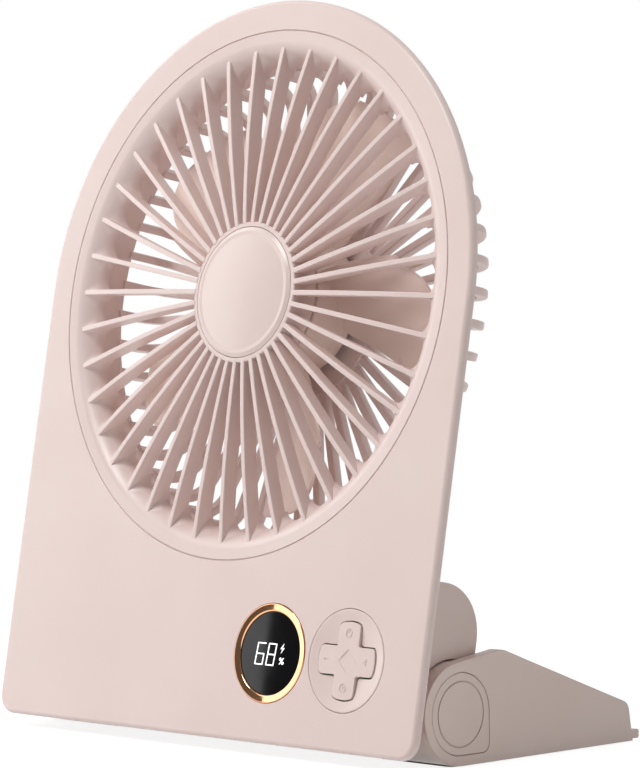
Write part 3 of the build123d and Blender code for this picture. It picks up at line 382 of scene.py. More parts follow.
def turned_copies(bm, make, copies, phase):
    """The same sub-part repeated about the fan's axis."""
    for i in range(copies):
        before = set(bm.verts)
        make(bm)
        new = [v for v in bm.verts if v not in before]
        bmesh.ops.rotate(bm, verts=new, cent=(0, 0, 0),
                         matrix=Matrix.Rotation(-(phase + FULL_TURN * i / copies), 3, "Y"))


def face_frame(panel):
    """From the panel's own directions, with the origin at the fan's centre on its face, to the whole fan's."""
    centre = HINGE + UPWARD * (panel.drop - panel.hinge_rise) - INWARD * panel.hinge_setback
    matrix = Matrix((ACROSS, INWARD, UPWARD)).transposed().to_4x4()
    matrix.translation = centre
    return matrix


def placed(name, bm, material):
    """Object with the drawn mesh and its material, in the scene."""
    mesh = bpy.data.meshes.new(name)
    bm.to_mesh(mesh)
    bm.free()
    mesh.materials.append(material)
    piece = bpy.data.objects.new(name, mesh)
    bpy.context.scene.collection.objects.link(piece)
    return piece


def finish_piece(name, bm, place, material, body, replaces, crease=32):
    """Turn a drawn mesh into a piece that rides on its body and stands for its nodes."""
    bmesh.ops.recalc_face_normals(bm, faces=bm.faces)
    bmesh.ops.transform(bm, matrix=place, verts=bm.verts)
    piece = placed(name, bm, material)
    piece.data.shade_smooth()
    piece.data.set_sharp_from_angle(angle=radians(crease))
    weighted = piece.modifiers.new("Even shading", "WEIGHTED_NORMAL")
    weighted.keep_sharp = True
    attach(piece, body)
    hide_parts(*replaces)


# ---- finishes ----
class Nodes:
    """Short ways to add and join shader nodes in one tree."""

    def __init__(self, tree):
        self.tree = tree

    def feed(self, node, values):
        """Set a node's inputs, or link them where the value is another node's socket."""
        for key, value in values.items():
            if isinstance(value, bpy.types.NodeSocket):
                self.tree.links.new(value, node.inputs[key])
            else:
                node.inputs[key].default_value = value

    def add(self, kind, values=None, **settings):
        node = self.tree.nodes.new(kind)
        for key, value in settings.items():
            setattr(node, key, value)
        self.feed(node, values or {})
        return node

    def math(self, operation, *values):
        return self.add("ShaderNodeMath", dict(enumerate(values)), operation=operation).outputs[0]

    def here(self):
        """Place on the piece, in metres."""
        return self.add("ShaderNodeTexCoord").outputs["Object"]

    def noise(self, place, size, detail):
        """Noise with patches of about one size."""
        scale = self.math("DIVIDE", 1.0, size)
        return self.add("ShaderNodeTexNoise", {"Vector": place, "Scale": scale, "Detail": detail}).outputs["Fac"]

    def spread(self, value, low, high, start=0.0, end=1.0, **settings):
        """The stretch from low to high, spread from start to end."""
        ends = {"Value": value, "From Min": low, "From Max": high, "To Min": start, "To Max": end}
        return self.add("ShaderNodeMapRange", ends, **settings).outputs["Result"]

    def effect(self, name, values):
        """One of the shared effects, with this material's own values."""
        return self.add("ShaderNodeGroup", values, node_tree=effect_group(name)).outputs


def tone_drift(nodes, given):
    """Two near tones that drift into each other over the surface."""
    drift = nodes.noise(nodes.here(), given["Patch size"], 3.0)
    mix = nodes.add("ShaderNodeMix", {"Factor": nodes.spread(drift, 0.3, 0.7), "A": given["Tone"],
                                      "B": given["Second tone"]}, data_type="RGBA")
    return {"Colour": mix.outputs["Result"]}


def moulded_grain(nodes, given):
    """Fine spark-eroded grain of a moulded surface, with slow changes of gloss."""
    place = nodes.here()
    fine = nodes.noise(place, given["Grain size"], 1.0)
    patch = nodes.noise(place, given["Gloss patch"], 4.0)
    return {"Height": fine, "Roughness": nodes.spread(patch, 0.25, 0.75, given["Smoothest"], given["Roughest"])}


def brushed_lines(nodes, given):
    """Fine parallel lines left on metal by brushing or turning."""
    squeeze = nodes.add("ShaderNodeCombineXYZ", {"X": nodes.math("DIVIDE", 1.0, given["Stretch"]), "Y": 1.0,
                                                 "Z": 1.0}).outputs[0]
    along = nodes.add("ShaderNodeVectorMath", {0: nodes.here(), 1: squeeze}, operation="MULTIPLY").outputs[0]
    lines = nodes.noise(along, given["Line width"], 2.0)
    return {"Height": lines, "Roughness": nodes.spread(lines, 0.3, 0.7, given["Smoothest"], given["Roughest"])}


# Each shared effect: what draws it, its inputs with their usual values, and its outputs.
RELIEF_AND_GLOSS = {"Height": "NodeSocketFloat", "Roughness": "NodeSocketFloat"}
EFFECTS = {
    "Tone drift": (tone_drift, {"Tone": WHITE, "Second tone": WHITE, "Patch size": 0.03},
                   {"Colour": "NodeSocketColor"}),
    "Moulded grain": (moulded_grain, {"Grain size": 0.0004, "Gloss patch": 0.02, "Smoothest": 0.35,
                                      "Roughest": 0.45}, RELIEF_AND_GLOSS),
    "Brushed lines": (brushed_lines, {"Line width": 0.0003, "Stretch": 12.0, "Smoothest": 0.25,
                                      "Roughest": 0.4}, RELIEF_AND_GLOSS),
}


def effect_group(name):
    """Shader group of a shared effect, with named sockets, built once."""
    tree = bpy.data.node_groups.get(name)
    if tree is None:
        draw, inputs, outputs = EFFECTS[name]
        tree = bpy.data.node_groups.new(name, "ShaderNodeTree")
        for label, value in inputs.items():
            kind = "NodeSocketFloat" if isinstance(value, float) else "NodeSocketColor"
            tree.interface.new_socket(name=label, in_out="INPUT", socket_type=kind).default_value = value
        for label, kind in outputs.items():
            tree.interface.new_socket(name=label, in_out="OUTPUT", socket_type=kind)
        nodes = Nodes(tree)
        nodes.add("NodeGroupOutput", draw(nodes, nodes.add("NodeGroupInput").outputs))
    return tree


def new_material(name):
    """Material with its plain shader, and the tools to add to it."""
    material = bpy.data.materials.new(name)
    material.use_nodes = True
    return material, Nodes(material.node_tree), material.node_tree.nodes["Principled BSDF"]


def tones(nodes, tone, second, patch):
    return nodes.effect("Tone drift", {"Tone": (*tone, 1.0), "Second tone": (*second, 1.0),
                                       "Patch size": patch})["Colour"]


def finish(name, tone, second, patch, effect, values, relief, even, edge=0.0):
    """Material, built once, with drifting tones, a surface effect, and even values on the shader itself.

    The relief is its strength and depth. With an edge, edges shine as if they were rounded by that much.
    """
    if name in bpy.data.materials:
        return bpy.data.materials[name]
    material, nodes, shader = new_material(name)
    surface = nodes.effect(effect, values)
    bump = nodes.add("ShaderNodeBump", {"Strength": relief[0], "Distance": relief[1], "Height": surface["Height"]})
    if edge:
        rounding = nodes.add("ShaderNodeBevel", {"Radius": edge}, samples=6)
        nodes.feed(bump, {"Normal": rounding.outputs["Normal"]})
    nodes.feed(shader, {"Base Color": tones(nodes, tone, second, patch), "Roughness": surface["Roughness"],
                        "Normal": bump.outputs["Normal"], **even})
    return material


def satin_plastic(name, tone, second, roughness, grain=0.00045, relief=0.25, edge=0.0):
    """Moulded plastic with a fine grain and a soft sheen."""
    values = {"Grain size": grain, "Gloss patch": 0.018, "Smoothest": roughness - 0.05,
              "Roughest": roughness + 0.05}
    return finish(name, tone, second, 0.035, "Moulded grain", values, (relief, 0.03 * MM),
                  {"Specular IOR Level": 0.5}, edge)


def metal(name, tone, second, smoothest, roughest, line=0.0003, stretch=12.0, relief=0.15):
    """Plain or brushed metal."""
    values = {"Line width": line, "Stretch": stretch, "Smoothest": smoothest, "Roughest": roughest}
    return finish(name, tone, second, 0.01, "Brushed lines", values, (relief, 0.02 * MM), {"Metallic": 1.0})


def housing_finish(context):
    fin = context.scene.fan_finishes
    return satin_plastic("Housing plastic", fin.housing, fin.housing_deep, fin.sheen)


# Rear cover plastic, darkened from the housing's pink as painted shade.
def cover_painted_shade_finish(context):
    fin = context.scene.fan_finishes
    return satin_plastic("Rear cover plastic with painted shade", fin.cover, fin.cover_painted_shade_deep, fin.sheen,
                         edge=context.scene.fan_base.edge)


# Base plastic, darkened from the housing's pink as painted shade for the base's shaded sides.
def base_painted_shade_finish(context):
    fin = context.scene.fan_finishes
    return satin_plastic("Base plastic with painted shade", fin.base, fin.base_painted_shade_deep, fin.sheen, edge=context.scene.fan_base.edge)


# Blade plastic, lightened from the housing's pink as painted light for the impeller deep in the duct.
def blade_painted_light_finish(context):
    fin = context.scene.fan_finishes
    return satin_plastic("Blade plastic with painted light", fin.blade, fin.blade_painted_light_deep, fin.sheen - 0.04)


def cap_finish(context):
    fin = context.scene.fan_finishes
    return satin_plastic("Cap plastic", fin.housing, fin.housing_deep, fin.cap_sheen, relief=0.15)


def ring_finish(context):
    fin = context.scene.fan_finishes
    return metal("Polished ring", fin.ring, fin.ring_deep, 0.03, 0.06, line=0.0006, relief=0.01)


def glass_finish(context):
    """Black glass, almost even, with the faintest change of tone and gloss."""
    fin = context.scene.fan_finishes
    values = {"Grain size": 0.002, "Gloss patch": 0.008, "Smoothest": 0.02, "Roughest": 0.05}
    return finish("Display glass", fin.glass, [v * 1.3 for v in fin.glass], 0.01, "Moulded grain", values,
                  (0.01, 0.01 * MM), {"IOR": 1.4})


def glow_finish():
    """Lit digits, with a slight change of brightness."""
    material, nodes, shader = new_material("Lit digits")
    colour = tones(nodes, (0.9, 0.92, 0.95), (1.0, 1.0, 1.0), 0.002)
    nodes.feed(shader, {"Base Color": colour, "Emission Color": colour, "Emission Strength": 0.8,
                        "Roughness": 0.3})
    return material


# Mat rubber, dark all along the base's bottom: real rubber, and also painted shade for the gap under the base.
def rubber_and_painted_shade_finish(context):
    fin = context.scene.fan_finishes
    return satin_plastic("Mat rubber and painted shade", fin.rubber, [v * 0.8 for v in fin.rubber], 0.85, grain=0.0007, relief=0.6)


# ---- head: panel and front grille ----
class FAN_OT_front_panel(Operator):
    """Front panel: the arched plate with its rounded rim and three openings"""

    bl_idname = "fan.front_panel"
    bl_label = "Front Panel"

    def execute(self, context):
        scene = context.scene
        pan, gri, con = scene.fan_panel, scene.fan_grille, scene.fan_controls
        seam = gri.duct + gri.bell + gri.face
        radius, half_seam, soft = seam + pan.border, pan.seam / 2, pan.softness
        controls = con.rise - pan.drop
        holes = [(0.0, 0.0, seam + half_seam, ROUND_WIDE),
                 (con.display, controls, con.ring + half_seam, ROUND_HOLE),
                 (con.dish, controls, con.dish_radius + half_seam, ROUND_HOLE)]
        bm = bmesh.new()
        front = [(pan.front_edge - x, y) for x, y in
                 arc((0, pan.front_edge), pan.front_edge, -pi / 2, 0, 8)]
        rear = [(pan.rear_edge - x, y) for x, y in
                arc((0, pan.rim - pan.rear_edge), pan.rear_edge, 0, pi / 2, 5)]
        rim = front + rear + [(pan.rim_width, pan.rim), (pan.rim_width, pan.skin)]
        loops = skin(bm, [face_on(arch(radius - inset, pan.drop - inset, max(pan.corner - inset, MM)), depth)
                          for inset, depth in rim])
        front_loops, rear_loops = [loops[0]], [loops[-1]]
        for x, z, hole, steps in holes:
            edge = [(hole + soft - r, d) for r, d in arc((0, soft), soft, -pi / 2, 0, 3)] + [(hole, pan.skin)]
            rows = skin(bm, [face_on(circle(r, steps, (x, z)), d) for r, d in edge])
            front_loops.append(rows[0])
            rear_loops.append(rows[-1])
        fill(bm, *front_loops)
        fill(bm, *rear_loops)
        finish_piece("front_panel_moulding", bm, face_frame(pan), housing_finish(context), "head",
                     ["front_panel"])
        return {"FINISHED"}


def rib_front(gri, radius, root, tip):
    """Depth of a rib's arched front edge at a radius."""
    t = (radius - root) / (tip - root)
    inner, middle, outer = (2 * t - 1) * (t - 1), 4 * t * (1 - t), t * (2 * t - 1)
    return gri.rib_in * inner + gri.rib_middle * middle + gri.rib_out * outer


def rib_section(gri, front, soft):
    """Cross-section of a rib across and in depth: full thickness first, then narrowing to the rear."""
    half, thin = gri.rib / 2, gri.rib_rear / 2
    straight, rear = front + gri.rib_straight, front + gri.rib_depth
    return rounded([(-half, front, soft), (half, front, soft), (half, straight, 0), (thin, rear, soft * 0.8),
                    (-thin, rear, soft * 0.8), (-half, straight, 0)], steps=3)


def bell_radius(gri, depth):
    """Inner radius of the bell mouth at a depth behind the face."""
    left = 1 - min(1, max(0, depth - gri.face_fall) / gri.bell_depth)
    return gri.duct + gri.bell * (1 - (1 - left ** gri.bell_bulge) ** (1 / gri.bell_bulge))


class FAN_OT_front_grille(Operator):
    """Front grille: bell mouth, duct, arched ribs with webs, and the hub ring"""

    bl_idname = "fan.front_grille"
    bl_label = "Front Grille"

    flange_thickness = 1.6 * MM
    seam_ledge = 0.92  # end of the ledge in the seam, as a share of the seam's width
    rib_tip = 0.68  # end of a rib's front edge, as a share of the bell's width
    bell_steps, rib_steps, web_steps, web_side_steps = 24, 18, 12, 10
    web_crowding = 1.3  # above 1, a web has more rows near its front
    web_growth = 0.8  # below 1, a web widens most at its front

    def execute(self, context):
        pan, gri = context.scene.fan_panel, context.scene.fan_grille
        bm = bmesh.new()
        self.bell(bm, pan, gri)
        self.hub(bm, pan, gri)
        turned_copies(bm, lambda mesh: self.rib(mesh, pan, gri), gri.ribs, 0)
        finish_piece("front_grille_moulding", bm, face_frame(pan), housing_finish(context), "head",
                     ["front_grille"])
        return {"FINISHED"}

    def bell(self, bm, pan, gri):
        lip = gri.duct + gri.bell
        outer = lip + gri.face - pan.seam / 2
        duct_outer = gri.duct + gri.wall
        flange_rear = pan.skin + self.flange_thickness
        flange = outer + pan.seam + gri.flange
        ledge = outer + pan.seam * self.seam_ledge
        soft = pan.softness
        profile = arc((outer - soft, soft), soft, 0, -pi / 2, 3)
        for i in range(self.bell_steps + 1):
            fallen = 1 - cos(pi / 2 * i / self.bell_steps) ** (2 / gri.bell_bulge)
            depth = gri.face_fall + gri.bell_depth * fallen
            profile.append((bell_radius(gri, depth), depth))
        profile += rounded([(gri.duct, gri.depth - soft, 0), (gri.duct, gri.depth, soft * 0.6),
                            (duct_outer, gri.depth, soft), (duct_outer, gri.bell_depth, 0),
                            (gri.duct + gri.bell / 2, flange_rear, 0), (flange, flange_rear, 0),
                            (flange, pan.skin, 0), (ledge, pan.skin, 0), (ledge, pan.seam_depth, 0),
                            (outer, pan.seam_depth, 0)], closed=False)
        lathe(bm, profile, ROUND_WIDE)

    def hub(self, bm, pan, gri):
        seat = gri.hub_front + gri.cap_thickness
        bore = gri.cap + pan.seam / 2
        inner = gri.hub - gri.hub_wall
        soft = pan.softness
        profile = rounded([(0, seat, 0), (bore, seat, 0), (bore, gri.hub_front, soft * 0.6),
                           (gri.hub, gri.hub_front, 2 * soft), (gri.hub, gri.hub_rear, soft),
                           (inner, gri.hub_rear, soft), (inner, seat + gri.hub_wall, 0),
                           (0, seat + gri.hub_wall, 0)])
        lathe(bm, profile, ROUND_HUB)

    def rib(self, bm, pan, gri):
        root = gri.hub - gri.hub_wall / 4
        tip = gri.duct + gri.bell * self.rib_tip
        wall = gri.duct + gri.wall / 2
        rows = []
        for i in range(self.rib_steps + 1):
            radius = root + (wall - root) * i / self.rib_steps
            section = rib_section(gri, rib_front(gri, radius, root, tip), pan.softness)
            rows.append([(radius, depth, across) for across, depth in section])
        section = rib_section(gri, gri.rib_out, pan.softness)
        limit = gri.rib_out + gri.wall
        rows.append([(tip, min(depth, limit), across) for across, depth in section])
        skin(bm, rows, capped=True)
        self.web(bm, gri)

    def web(self, bm, gri):
        """Hollow-sided web that widens with depth, so that each opening ends in a round."""
        flank = gri.rib_rear / 2
        rows = []
        for i in range(self.web_steps + 1):
            depth = gri.rib_out + gri.rib_depth * (i / self.web_steps) ** self.web_crowding
            grown = min(1, (depth - gri.rib_out) / gri.web_rise) ** self.web_growth
            across, inwards = gri.web_width * grown, gri.web * grown
            radius = bell_radius(gri, depth)
            side = [(radius - inwards * (1 - sin(a)), flank + across * (1 - cos(a)))
                    for a in (pi / 2 * k / self.web_side_steps for k in range(self.web_side_steps + 1))]
            side.append((radius + gri.wall / 3, flank + across))
            whole = side + [(distance, -away) for distance, away in reversed(side)]
            rows.append([(distance * cos(away / distance), depth, distance * sin(away / distance))
                         for distance, away in whole])
        skin(bm, rows, capped=True)


class FAN_OT_hub_cap(Operator):
    """Hub cap: a shallow dome inside a sloping border"""

    bl_idname = "fan.hub_cap"
    bl_label = "Hub Cap"

    def execute(self, context):
        pan, gri = context.scene.fan_panel, context.scene.fan_grille
        seat = gri.hub_front + gri.cap_thickness
        shoulder = gri.cap - 2 * gri.cap_slope
        crest = gri.hub_front - gri.cap_rise
        front = gri.hub_front - gri.cap_front
        dome_rise = crest + gri.cap_fall - front
        sphere = (shoulder ** 2 + dome_rise ** 2) / (2 * dome_rise)
        half = asin(shoulder / sphere)
        dome = arc((0, front + sphere), sphere, -pi / 2 + half, -pi / 2, 20)
        soft = pan.softness
        border = rounded([(0, seat, 0), (gri.cap, seat, 0), (gri.cap, gri.hub_front, soft),
                          (gri.cap - gri.cap_slope, crest, 4 * soft), (shoulder, crest + gri.cap_fall, 12 * soft),
                          dome[1] + (0,)], steps=6, closed=False)
        bm = bmesh.new()
        lathe(bm, border[:-1] + dome[1:-1] + [(0, front)], ROUND_HUB)
        finish_piece("hub_cap_cover", bm, face_frame(pan), cap_finish(context), "head",
                     ["hub_cap"])
        return {"FINISHED"}


# ---- impeller ----
class FAN_OT_impeller(Operator):
    """Impeller: the hub and its five twisted blades"""

    bl_idname = "fan.impeller"
    bl_label = "Impeller"

    # Angles in degrees of the blades' front and rear edges, by the share of the way out.
    front_angles = ((0.0, 25), (0.35, 20), (0.65, 16), (1.0, 9))
    rear_angles = ((0.0, -20), (0.35, -20), (0.65, -21), (1.0, -22))

    def execute(self, context):
        scene = context.scene
        imp, pan = scene.fan_impeller, scene.fan_panel
        bm = bmesh.new()
        inner = imp.hub - imp.hub_wall
        rear = imp.hub_front + imp.hub_depth
        soft = pan.softness
        lathe(bm, rounded([(0, imp.hub_front, 0), (imp.hub, imp.hub_front, 4 * soft), (imp.hub, rear, soft),
                           (inner, rear, soft), (inner, imp.hub_front + imp.hub_wall, soft),
                           (0, imp.hub_front + imp.hub_wall, 0)]), ROUND_DISC)
        turned_copies(bm, lambda mesh: self.blade(mesh, imp), imp.blades, imp.phase)
        finish_piece("impeller_moulding", bm, face_frame(pan), blade_painted_light_finish(context), "impeller",
                     ["impeller"], crease=50)
        return {"FINISHED"}

    def blade(self, bm, imp):
        """One blade: a grid over its span and chord, thick in the middle and rounded at its edges."""
        start, span_steps, chord_steps = imp.hub * 0.9, 26, 14
        narrowing, least_width, edge_steps = 0.6 * MM, 0.2 * MM, 3
        front_rows, rear_rows = [], []
        for i in range(span_steps + 1):
            along = 1 - (1 - i / span_steps) ** 1.5
            x = start + (imp.tip - start) * along
            share_out = (x - start) / (imp.tip + MM - start)
            drawn_in = narrowing * share_out ** 2
            nose = (x, imp.front + drawn_in, x * tan(radians(between(self.front_angles, share_out))))
            tail = (x, imp.rear - drawn_in, x * tan(radians(between(self.rear_angles, share_out))))
            rim = sqrt(max(imp.tip ** 2 - x ** 2, 0))
            low = max(tail[2], -rim)
            past = x - (imp.tip - imp.corner)
            high = min(nose[2], rim)
            if past > 0:
                high = min(high, -imp.corner_drop + sqrt(max(imp.corner ** 2 - past ** 2, 0)))
            high = max(high, low + least_width)
            row_front, row_rear = [], []
            for j in range(chord_steps + 1):
                z = low + (high - low) * (1 - cos(pi * j / chord_steps)) / 2
                t = (z - tail[2]) / (nose[2] - tail[2])
                depth = tail[1] + (nose[1] - tail[1]) * t
                edge = min(j, chord_steps - j, (span_steps - i) * 0.8) / edge_steps
                half = imp.thickness / 2 * sqrt(1 - (1 - min(edge, 1)) ** 2)
                lean = atan2(nose[1] - tail[1], nose[2] - tail[2])
                row_front.append((x, depth - half * cos(lean), z + half * sin(lean)))
                row_rear.append((x, depth + half * cos(lean), z - half * sin(lean)))
            front_rows.append(row_front)
            rear_rows.append(row_rear)
        rows = [front + rear[::-1] for front, rear in zip(front_rows, rear_rows)]
        loops = skin(bm, rows, capped=True)
        bmesh.ops.remove_doubles(bm, verts=[v for loop in loops for v in loop], dist=0.01 * MM)


def between(table, t):
    """Value at t in a short table of (place, value)."""
    for (t0, v0), (t1, v1) in zip(table, table[1:]):
        if t <= t1:
            return v0 + (v1 - v0) * (t - t0) / (t1 - t0)
    return table[-1][1]


# ---- rear grille ----
class FAN_OT_rear_grille(Operator):
    """Rear grille: the ring, its bent vanes and the motor disc"""

    bl_idname = "fan.rear_grille"
    bl_label = "Rear Grille"

    sleeve_wall, sleeve_depth = 1.7 * MM, 12.0 * MM
    skirt_wall, skirt_depth = 1.5 * MM, 9 * MM
    cap_recess, vane_lap, disc_lap = 1.5 * MM, 0.2 * MM, 1.5 * MM
    foot_start, foot_lap = 0.1 * MM, 0.4 * MM
    inner_row = 0.55  # row of a vane inside its bend, as a share of the cage's radius

    def execute(self, context):
        scene = context.scene
        pan, gri, rea = scene.fan_panel, scene.fan_grille, scene.fan_rear
        soft = pan.softness
        sleeve_inner = gri.duct + gri.wall + pan.seam / 2
        skirt_inner = sleeve_inner + self.sleeve_wall + pan.seam / 2
        skirt_outer = skirt_inner + self.skirt_wall
        ring_front = self.sleeve_depth + pan.seam / 4
        cage_front = gri.depth + pan.seam / 2
        bm = bmesh.new()
        lathe(bm, rounded([(sleeve_inner, ring_front, 0), (sleeve_inner, cage_front, soft),
                           (skirt_outer, cage_front, 2.5 * soft), (skirt_outer, self.skirt_depth, soft),
                           (skirt_inner, self.skirt_depth, soft), (skirt_inner, ring_front, 0)]), ROUND_WIDE)
        disc_front, recess = rea.depth - rea.band - self.vane_lap, rea.depth - self.cap_recess
        bore = rea.cap + pan.seam / 2
        lathe(bm, rounded([(0, disc_front, 0), (rea.disc, disc_front, soft), (rea.disc, rea.depth, 3 * soft),
                           (bore, rea.depth, soft), (bore, recess, 0), (0, recess, 0)]), ROUND_DISC)
        turned_copies(bm, lambda mesh: self.vane(mesh, rea, sleeve_inner, ring_front, cage_front), rea.vanes,
                      rea.phase)
        finish_piece("rear_grille_moulding", bm, face_frame(pan), housing_finish(context), "head",
                     ["rear_grille"])
        return {"FINISHED"}

    def vane(self, bm, rea, sleeve_inner, ring_front, cage_front):
        """One vane: a foot on the ring, then an L with a round bend that ends in the disc."""
        half, band = rea.vane / 2, rea.band
        start, bend = ring_front + self.foot_lap, rea.depth - rea.corner
        section = rounded([(-half, 0, rea.vane_edge), (half, 0, rea.vane_edge), (half, band, rea.vane_edge),
                           (-half, band, rea.vane_edge)], steps=3)
        centre = (rea.cage - rea.corner, bend)
        path = [((rea.cage, start), 0), ((rea.cage, (start + bend) / 2), 0)]
        path += [(point, pi / 2 * i / 10) for i, point in enumerate(arc(centre, rea.corner, 0, pi / 2, 10))]
        path += [((radius, rea.depth), pi / 2) for radius in (rea.cage * self.inner_row, rea.disc - self.disc_lap)]
        rows = []
        for (radius, depth), angle in path:
            rows.append([(radius - inward * cos(angle), depth - inward * sin(angle), across)
                         for across, inward in section])
        skin(bm, rows, capped=True)
        foot = rectangle((-half, start), (half, cage_front))
        skin(bm, [[(radius, depth, across) for across, depth in foot]
                  for radius in (sleeve_inner + self.foot_start, rea.cage - rea.vane_edge)],
             capped=True)


class FAN_OT_rear_cap(Operator):
    """Rear cap: the low round cover over the motor screws"""

    bl_idname = "fan.rear_cap"
    bl_label = "Rear Cap"

    seat_depth, border_width = 1.2 * MM, 2 * MM
    groove_place = 0.62  # as a share of the cap's radius
    groove_step, lip_fall = 0.25 * MM, 0.04 * MM

    def execute(self, context):
        pan, rea = context.scene.fan_panel, context.scene.fan_rear
        soft = pan.softness
        seat, top = rea.depth - self.seat_depth, rea.depth + rea.cap_dome
        border, groove, step = rea.cap - self.border_width, rea.cap * self.groove_place, self.groove_step
        lip = top - self.lip_fall
        profile = rounded([(0, seat, 0), (rea.cap, seat, 0), (rea.cap, rea.depth - 0.1 * MM, soft),
                           (border, rea.depth + rea.cap_dome * 0.6, 2 * soft),
                           (groove + step, lip, 0.4 * soft), (groove, top - step, 0),
                           (groove - step, lip, 0.4 * soft), (0, top, 0)])
        bm = bmesh.new()
        lathe(bm, profile, ROUND_DISC)
        finish_piece("rear_cap_cover", bm, face_frame(pan), housing_finish(context), "head",
                     ["rear_hub_cap"])
        return {"FINISHED"}


# ---- display ----
class FAN_OT_display(Operator):
    """Display: the polished ring, black glass and lit digits"""

    bl_idname = "fan.display"
    bl_label = "Display"

    glass_gap = 0.02 * MM  # round the glass, inside the ring
    digit_relief = 0.08 * MM
    digit_corner = 0.45  # as a share of the stroke

    def execute(self, context):
        scene = context.scene
        pan, con = scene.fan_panel, scene.fan_controls
        centre = (con.display, con.rise - pan.drop)
        self.ring(context, pan, con, centre)
        self.glass(context, pan, con, centre)
        self.digits(pan, con, centre)
        return {"FINISHED"}

    def ring(self, context, pan, con, centre):
        outer, inner = con.ring, con.ring - con.ring_width
        crest = outer - con.ring_edge
        break_radius = inner + con.ring_bevel
        break_depth = con.ring_fall - con.ring_proud
        flange, foot = outer + FLANGE_WIDTH, pan.skin + FLANGE_THICKNESS
        profile = rounded([(outer, pan.skin, 0), (outer, -con.ring_proud * 0.6, 0.2 * MM),
                           (crest, -con.ring_proud, 0.25 * MM), (break_radius, break_depth, 0.5 * MM),
                           (inner, con.lens * 0.6, 0.2 * MM), (inner, foot, 0), (flange, foot, 0),
                           (flange, pan.skin, 0)], steps=6)
        bm = bmesh.new()
        lathe(bm, profile, ROUND_HUB, centre)
        finish_piece("display_bezel", bm, face_frame(pan), ring_finish(context), "head",
                     ["display_ring"], crease=40)

    def glass(self, context, pan, con, centre):
        radius, soft = con.ring - con.ring_width - self.glass_gap, pan.softness
        front, rear = con.lens, con.lens + con.lens_thickness
        bm = bmesh.new()
        lathe(bm, rounded([(0, front, 0), (radius, front, soft), (radius, rear, 0), (0, rear, 0)]), ROUND_DISC,
              centre)
        finish_piece("display_glass", bm, face_frame(pan), glass_finish(context), "head",
                     ["display_lens"])

    def digits(self, pan, con, centre):
        """Six, eight, a charging bolt and a percent sign, as thin raised strokes."""
        half_w, half_h, stroke = con.digit_width / 2, con.digit_height / 2, con.digit_stroke
        corner = stroke * self.digit_corner
        left, right, bar = -half_w + stroke, half_w - stroke, stroke / 2
        eight = rectangle((-half_w, -half_h), (half_w, half_h), corner)
        lower = rectangle((left, -half_h + stroke), (right, -bar))
        upper = rectangle((left, bar), (right, half_h - stroke))
        six = rounded([(-half_w, -half_h, corner), (half_w, -half_h, corner), (half_w, bar, corner),
                       (left, bar, 0), (left, half_h - stroke, 0), (half_w, half_h - stroke, 0),
                       (half_w, half_h, 0), (-half_w, half_h, corner)])
        bolt = [(0.36, 1.5), (-0.8, -0.18), (-0.02, -0.18), (-0.36, -1.5), (0.8, 0.18), (0.02, 0.18)]
        slash = [(-0.85, -0.95), (-0.4, -0.95), (0.85, 0.95), (0.4, 0.95)]
        bolt, slash = ([(x * MM, z * MM) for x, z in sign] for sign in (bolt, slash))
        dot, dot_x, dot_z = circle(0.44 * MM, 16), 0.6 * MM, 0.55 * MM
        fall, eight_x, sign_x, quarter = -0.3 * MM, 0.4 * MM, 5.0 * MM, half_h / 2
        shapes = [(six, [lower], eight_x - con.digit_pitch, 0), (eight, [lower, upper], eight_x, 0),
                  (bolt, [], sign_x - 0.5 * MM, quarter + 0.35 * MM), (slash, [], sign_x, -quarter),
                  (dot, [], sign_x - dot_x, -quarter + dot_z), (dot, [], sign_x + dot_x, -quarter - dot_z)]
        bm = bmesh.new()
        front, rear = con.lens - self.digit_relief, con.lens
        for outline, holes, x, z in shapes:
            rims = []
            for loop in [outline] + holes:
                place = [(px + x + con.digit_lean * (pz + z) + centre[0], pz + z + fall + centre[1])
                         for px, pz in loop]
                rims.append(skin(bm, [face_on(place, front), face_on(place, rear)]))
            fill(bm, *[rim[0] for rim in rims])
            fill(bm, *[rim[1] for rim in rims])
        finish_piece("display_numbers", bm, face_frame(pan), glow_finish(), "head",
                     ["display_digits"])


# ---- controls ----
def cross_outline(reach, arm, corner, inner_corner):
    """Outline of the cross key: four arms with ends rounded about the middle."""
    half = arm / 2
    end = sqrt(reach ** 2 - half ** 2)
    swing = atan2(half, end)
    corners = []
    for quarter in range(4):
        c, s = cos(quarter * pi / 2), sin(quarter * pi / 2)
        arm_points = [(half, -half, inner_corner), (end, -half, corner)]
        arm_points += [(reach * cos(a), reach * sin(a), 0) for a in (-swing * 0.5, 0, swing * 0.5)]
        arm_points.append((end, half, corner))
        corners += [(x * c - z * s, x * s + z * c, r) for x, z, r in arm_points]
    return rounded(corners, steps=5)


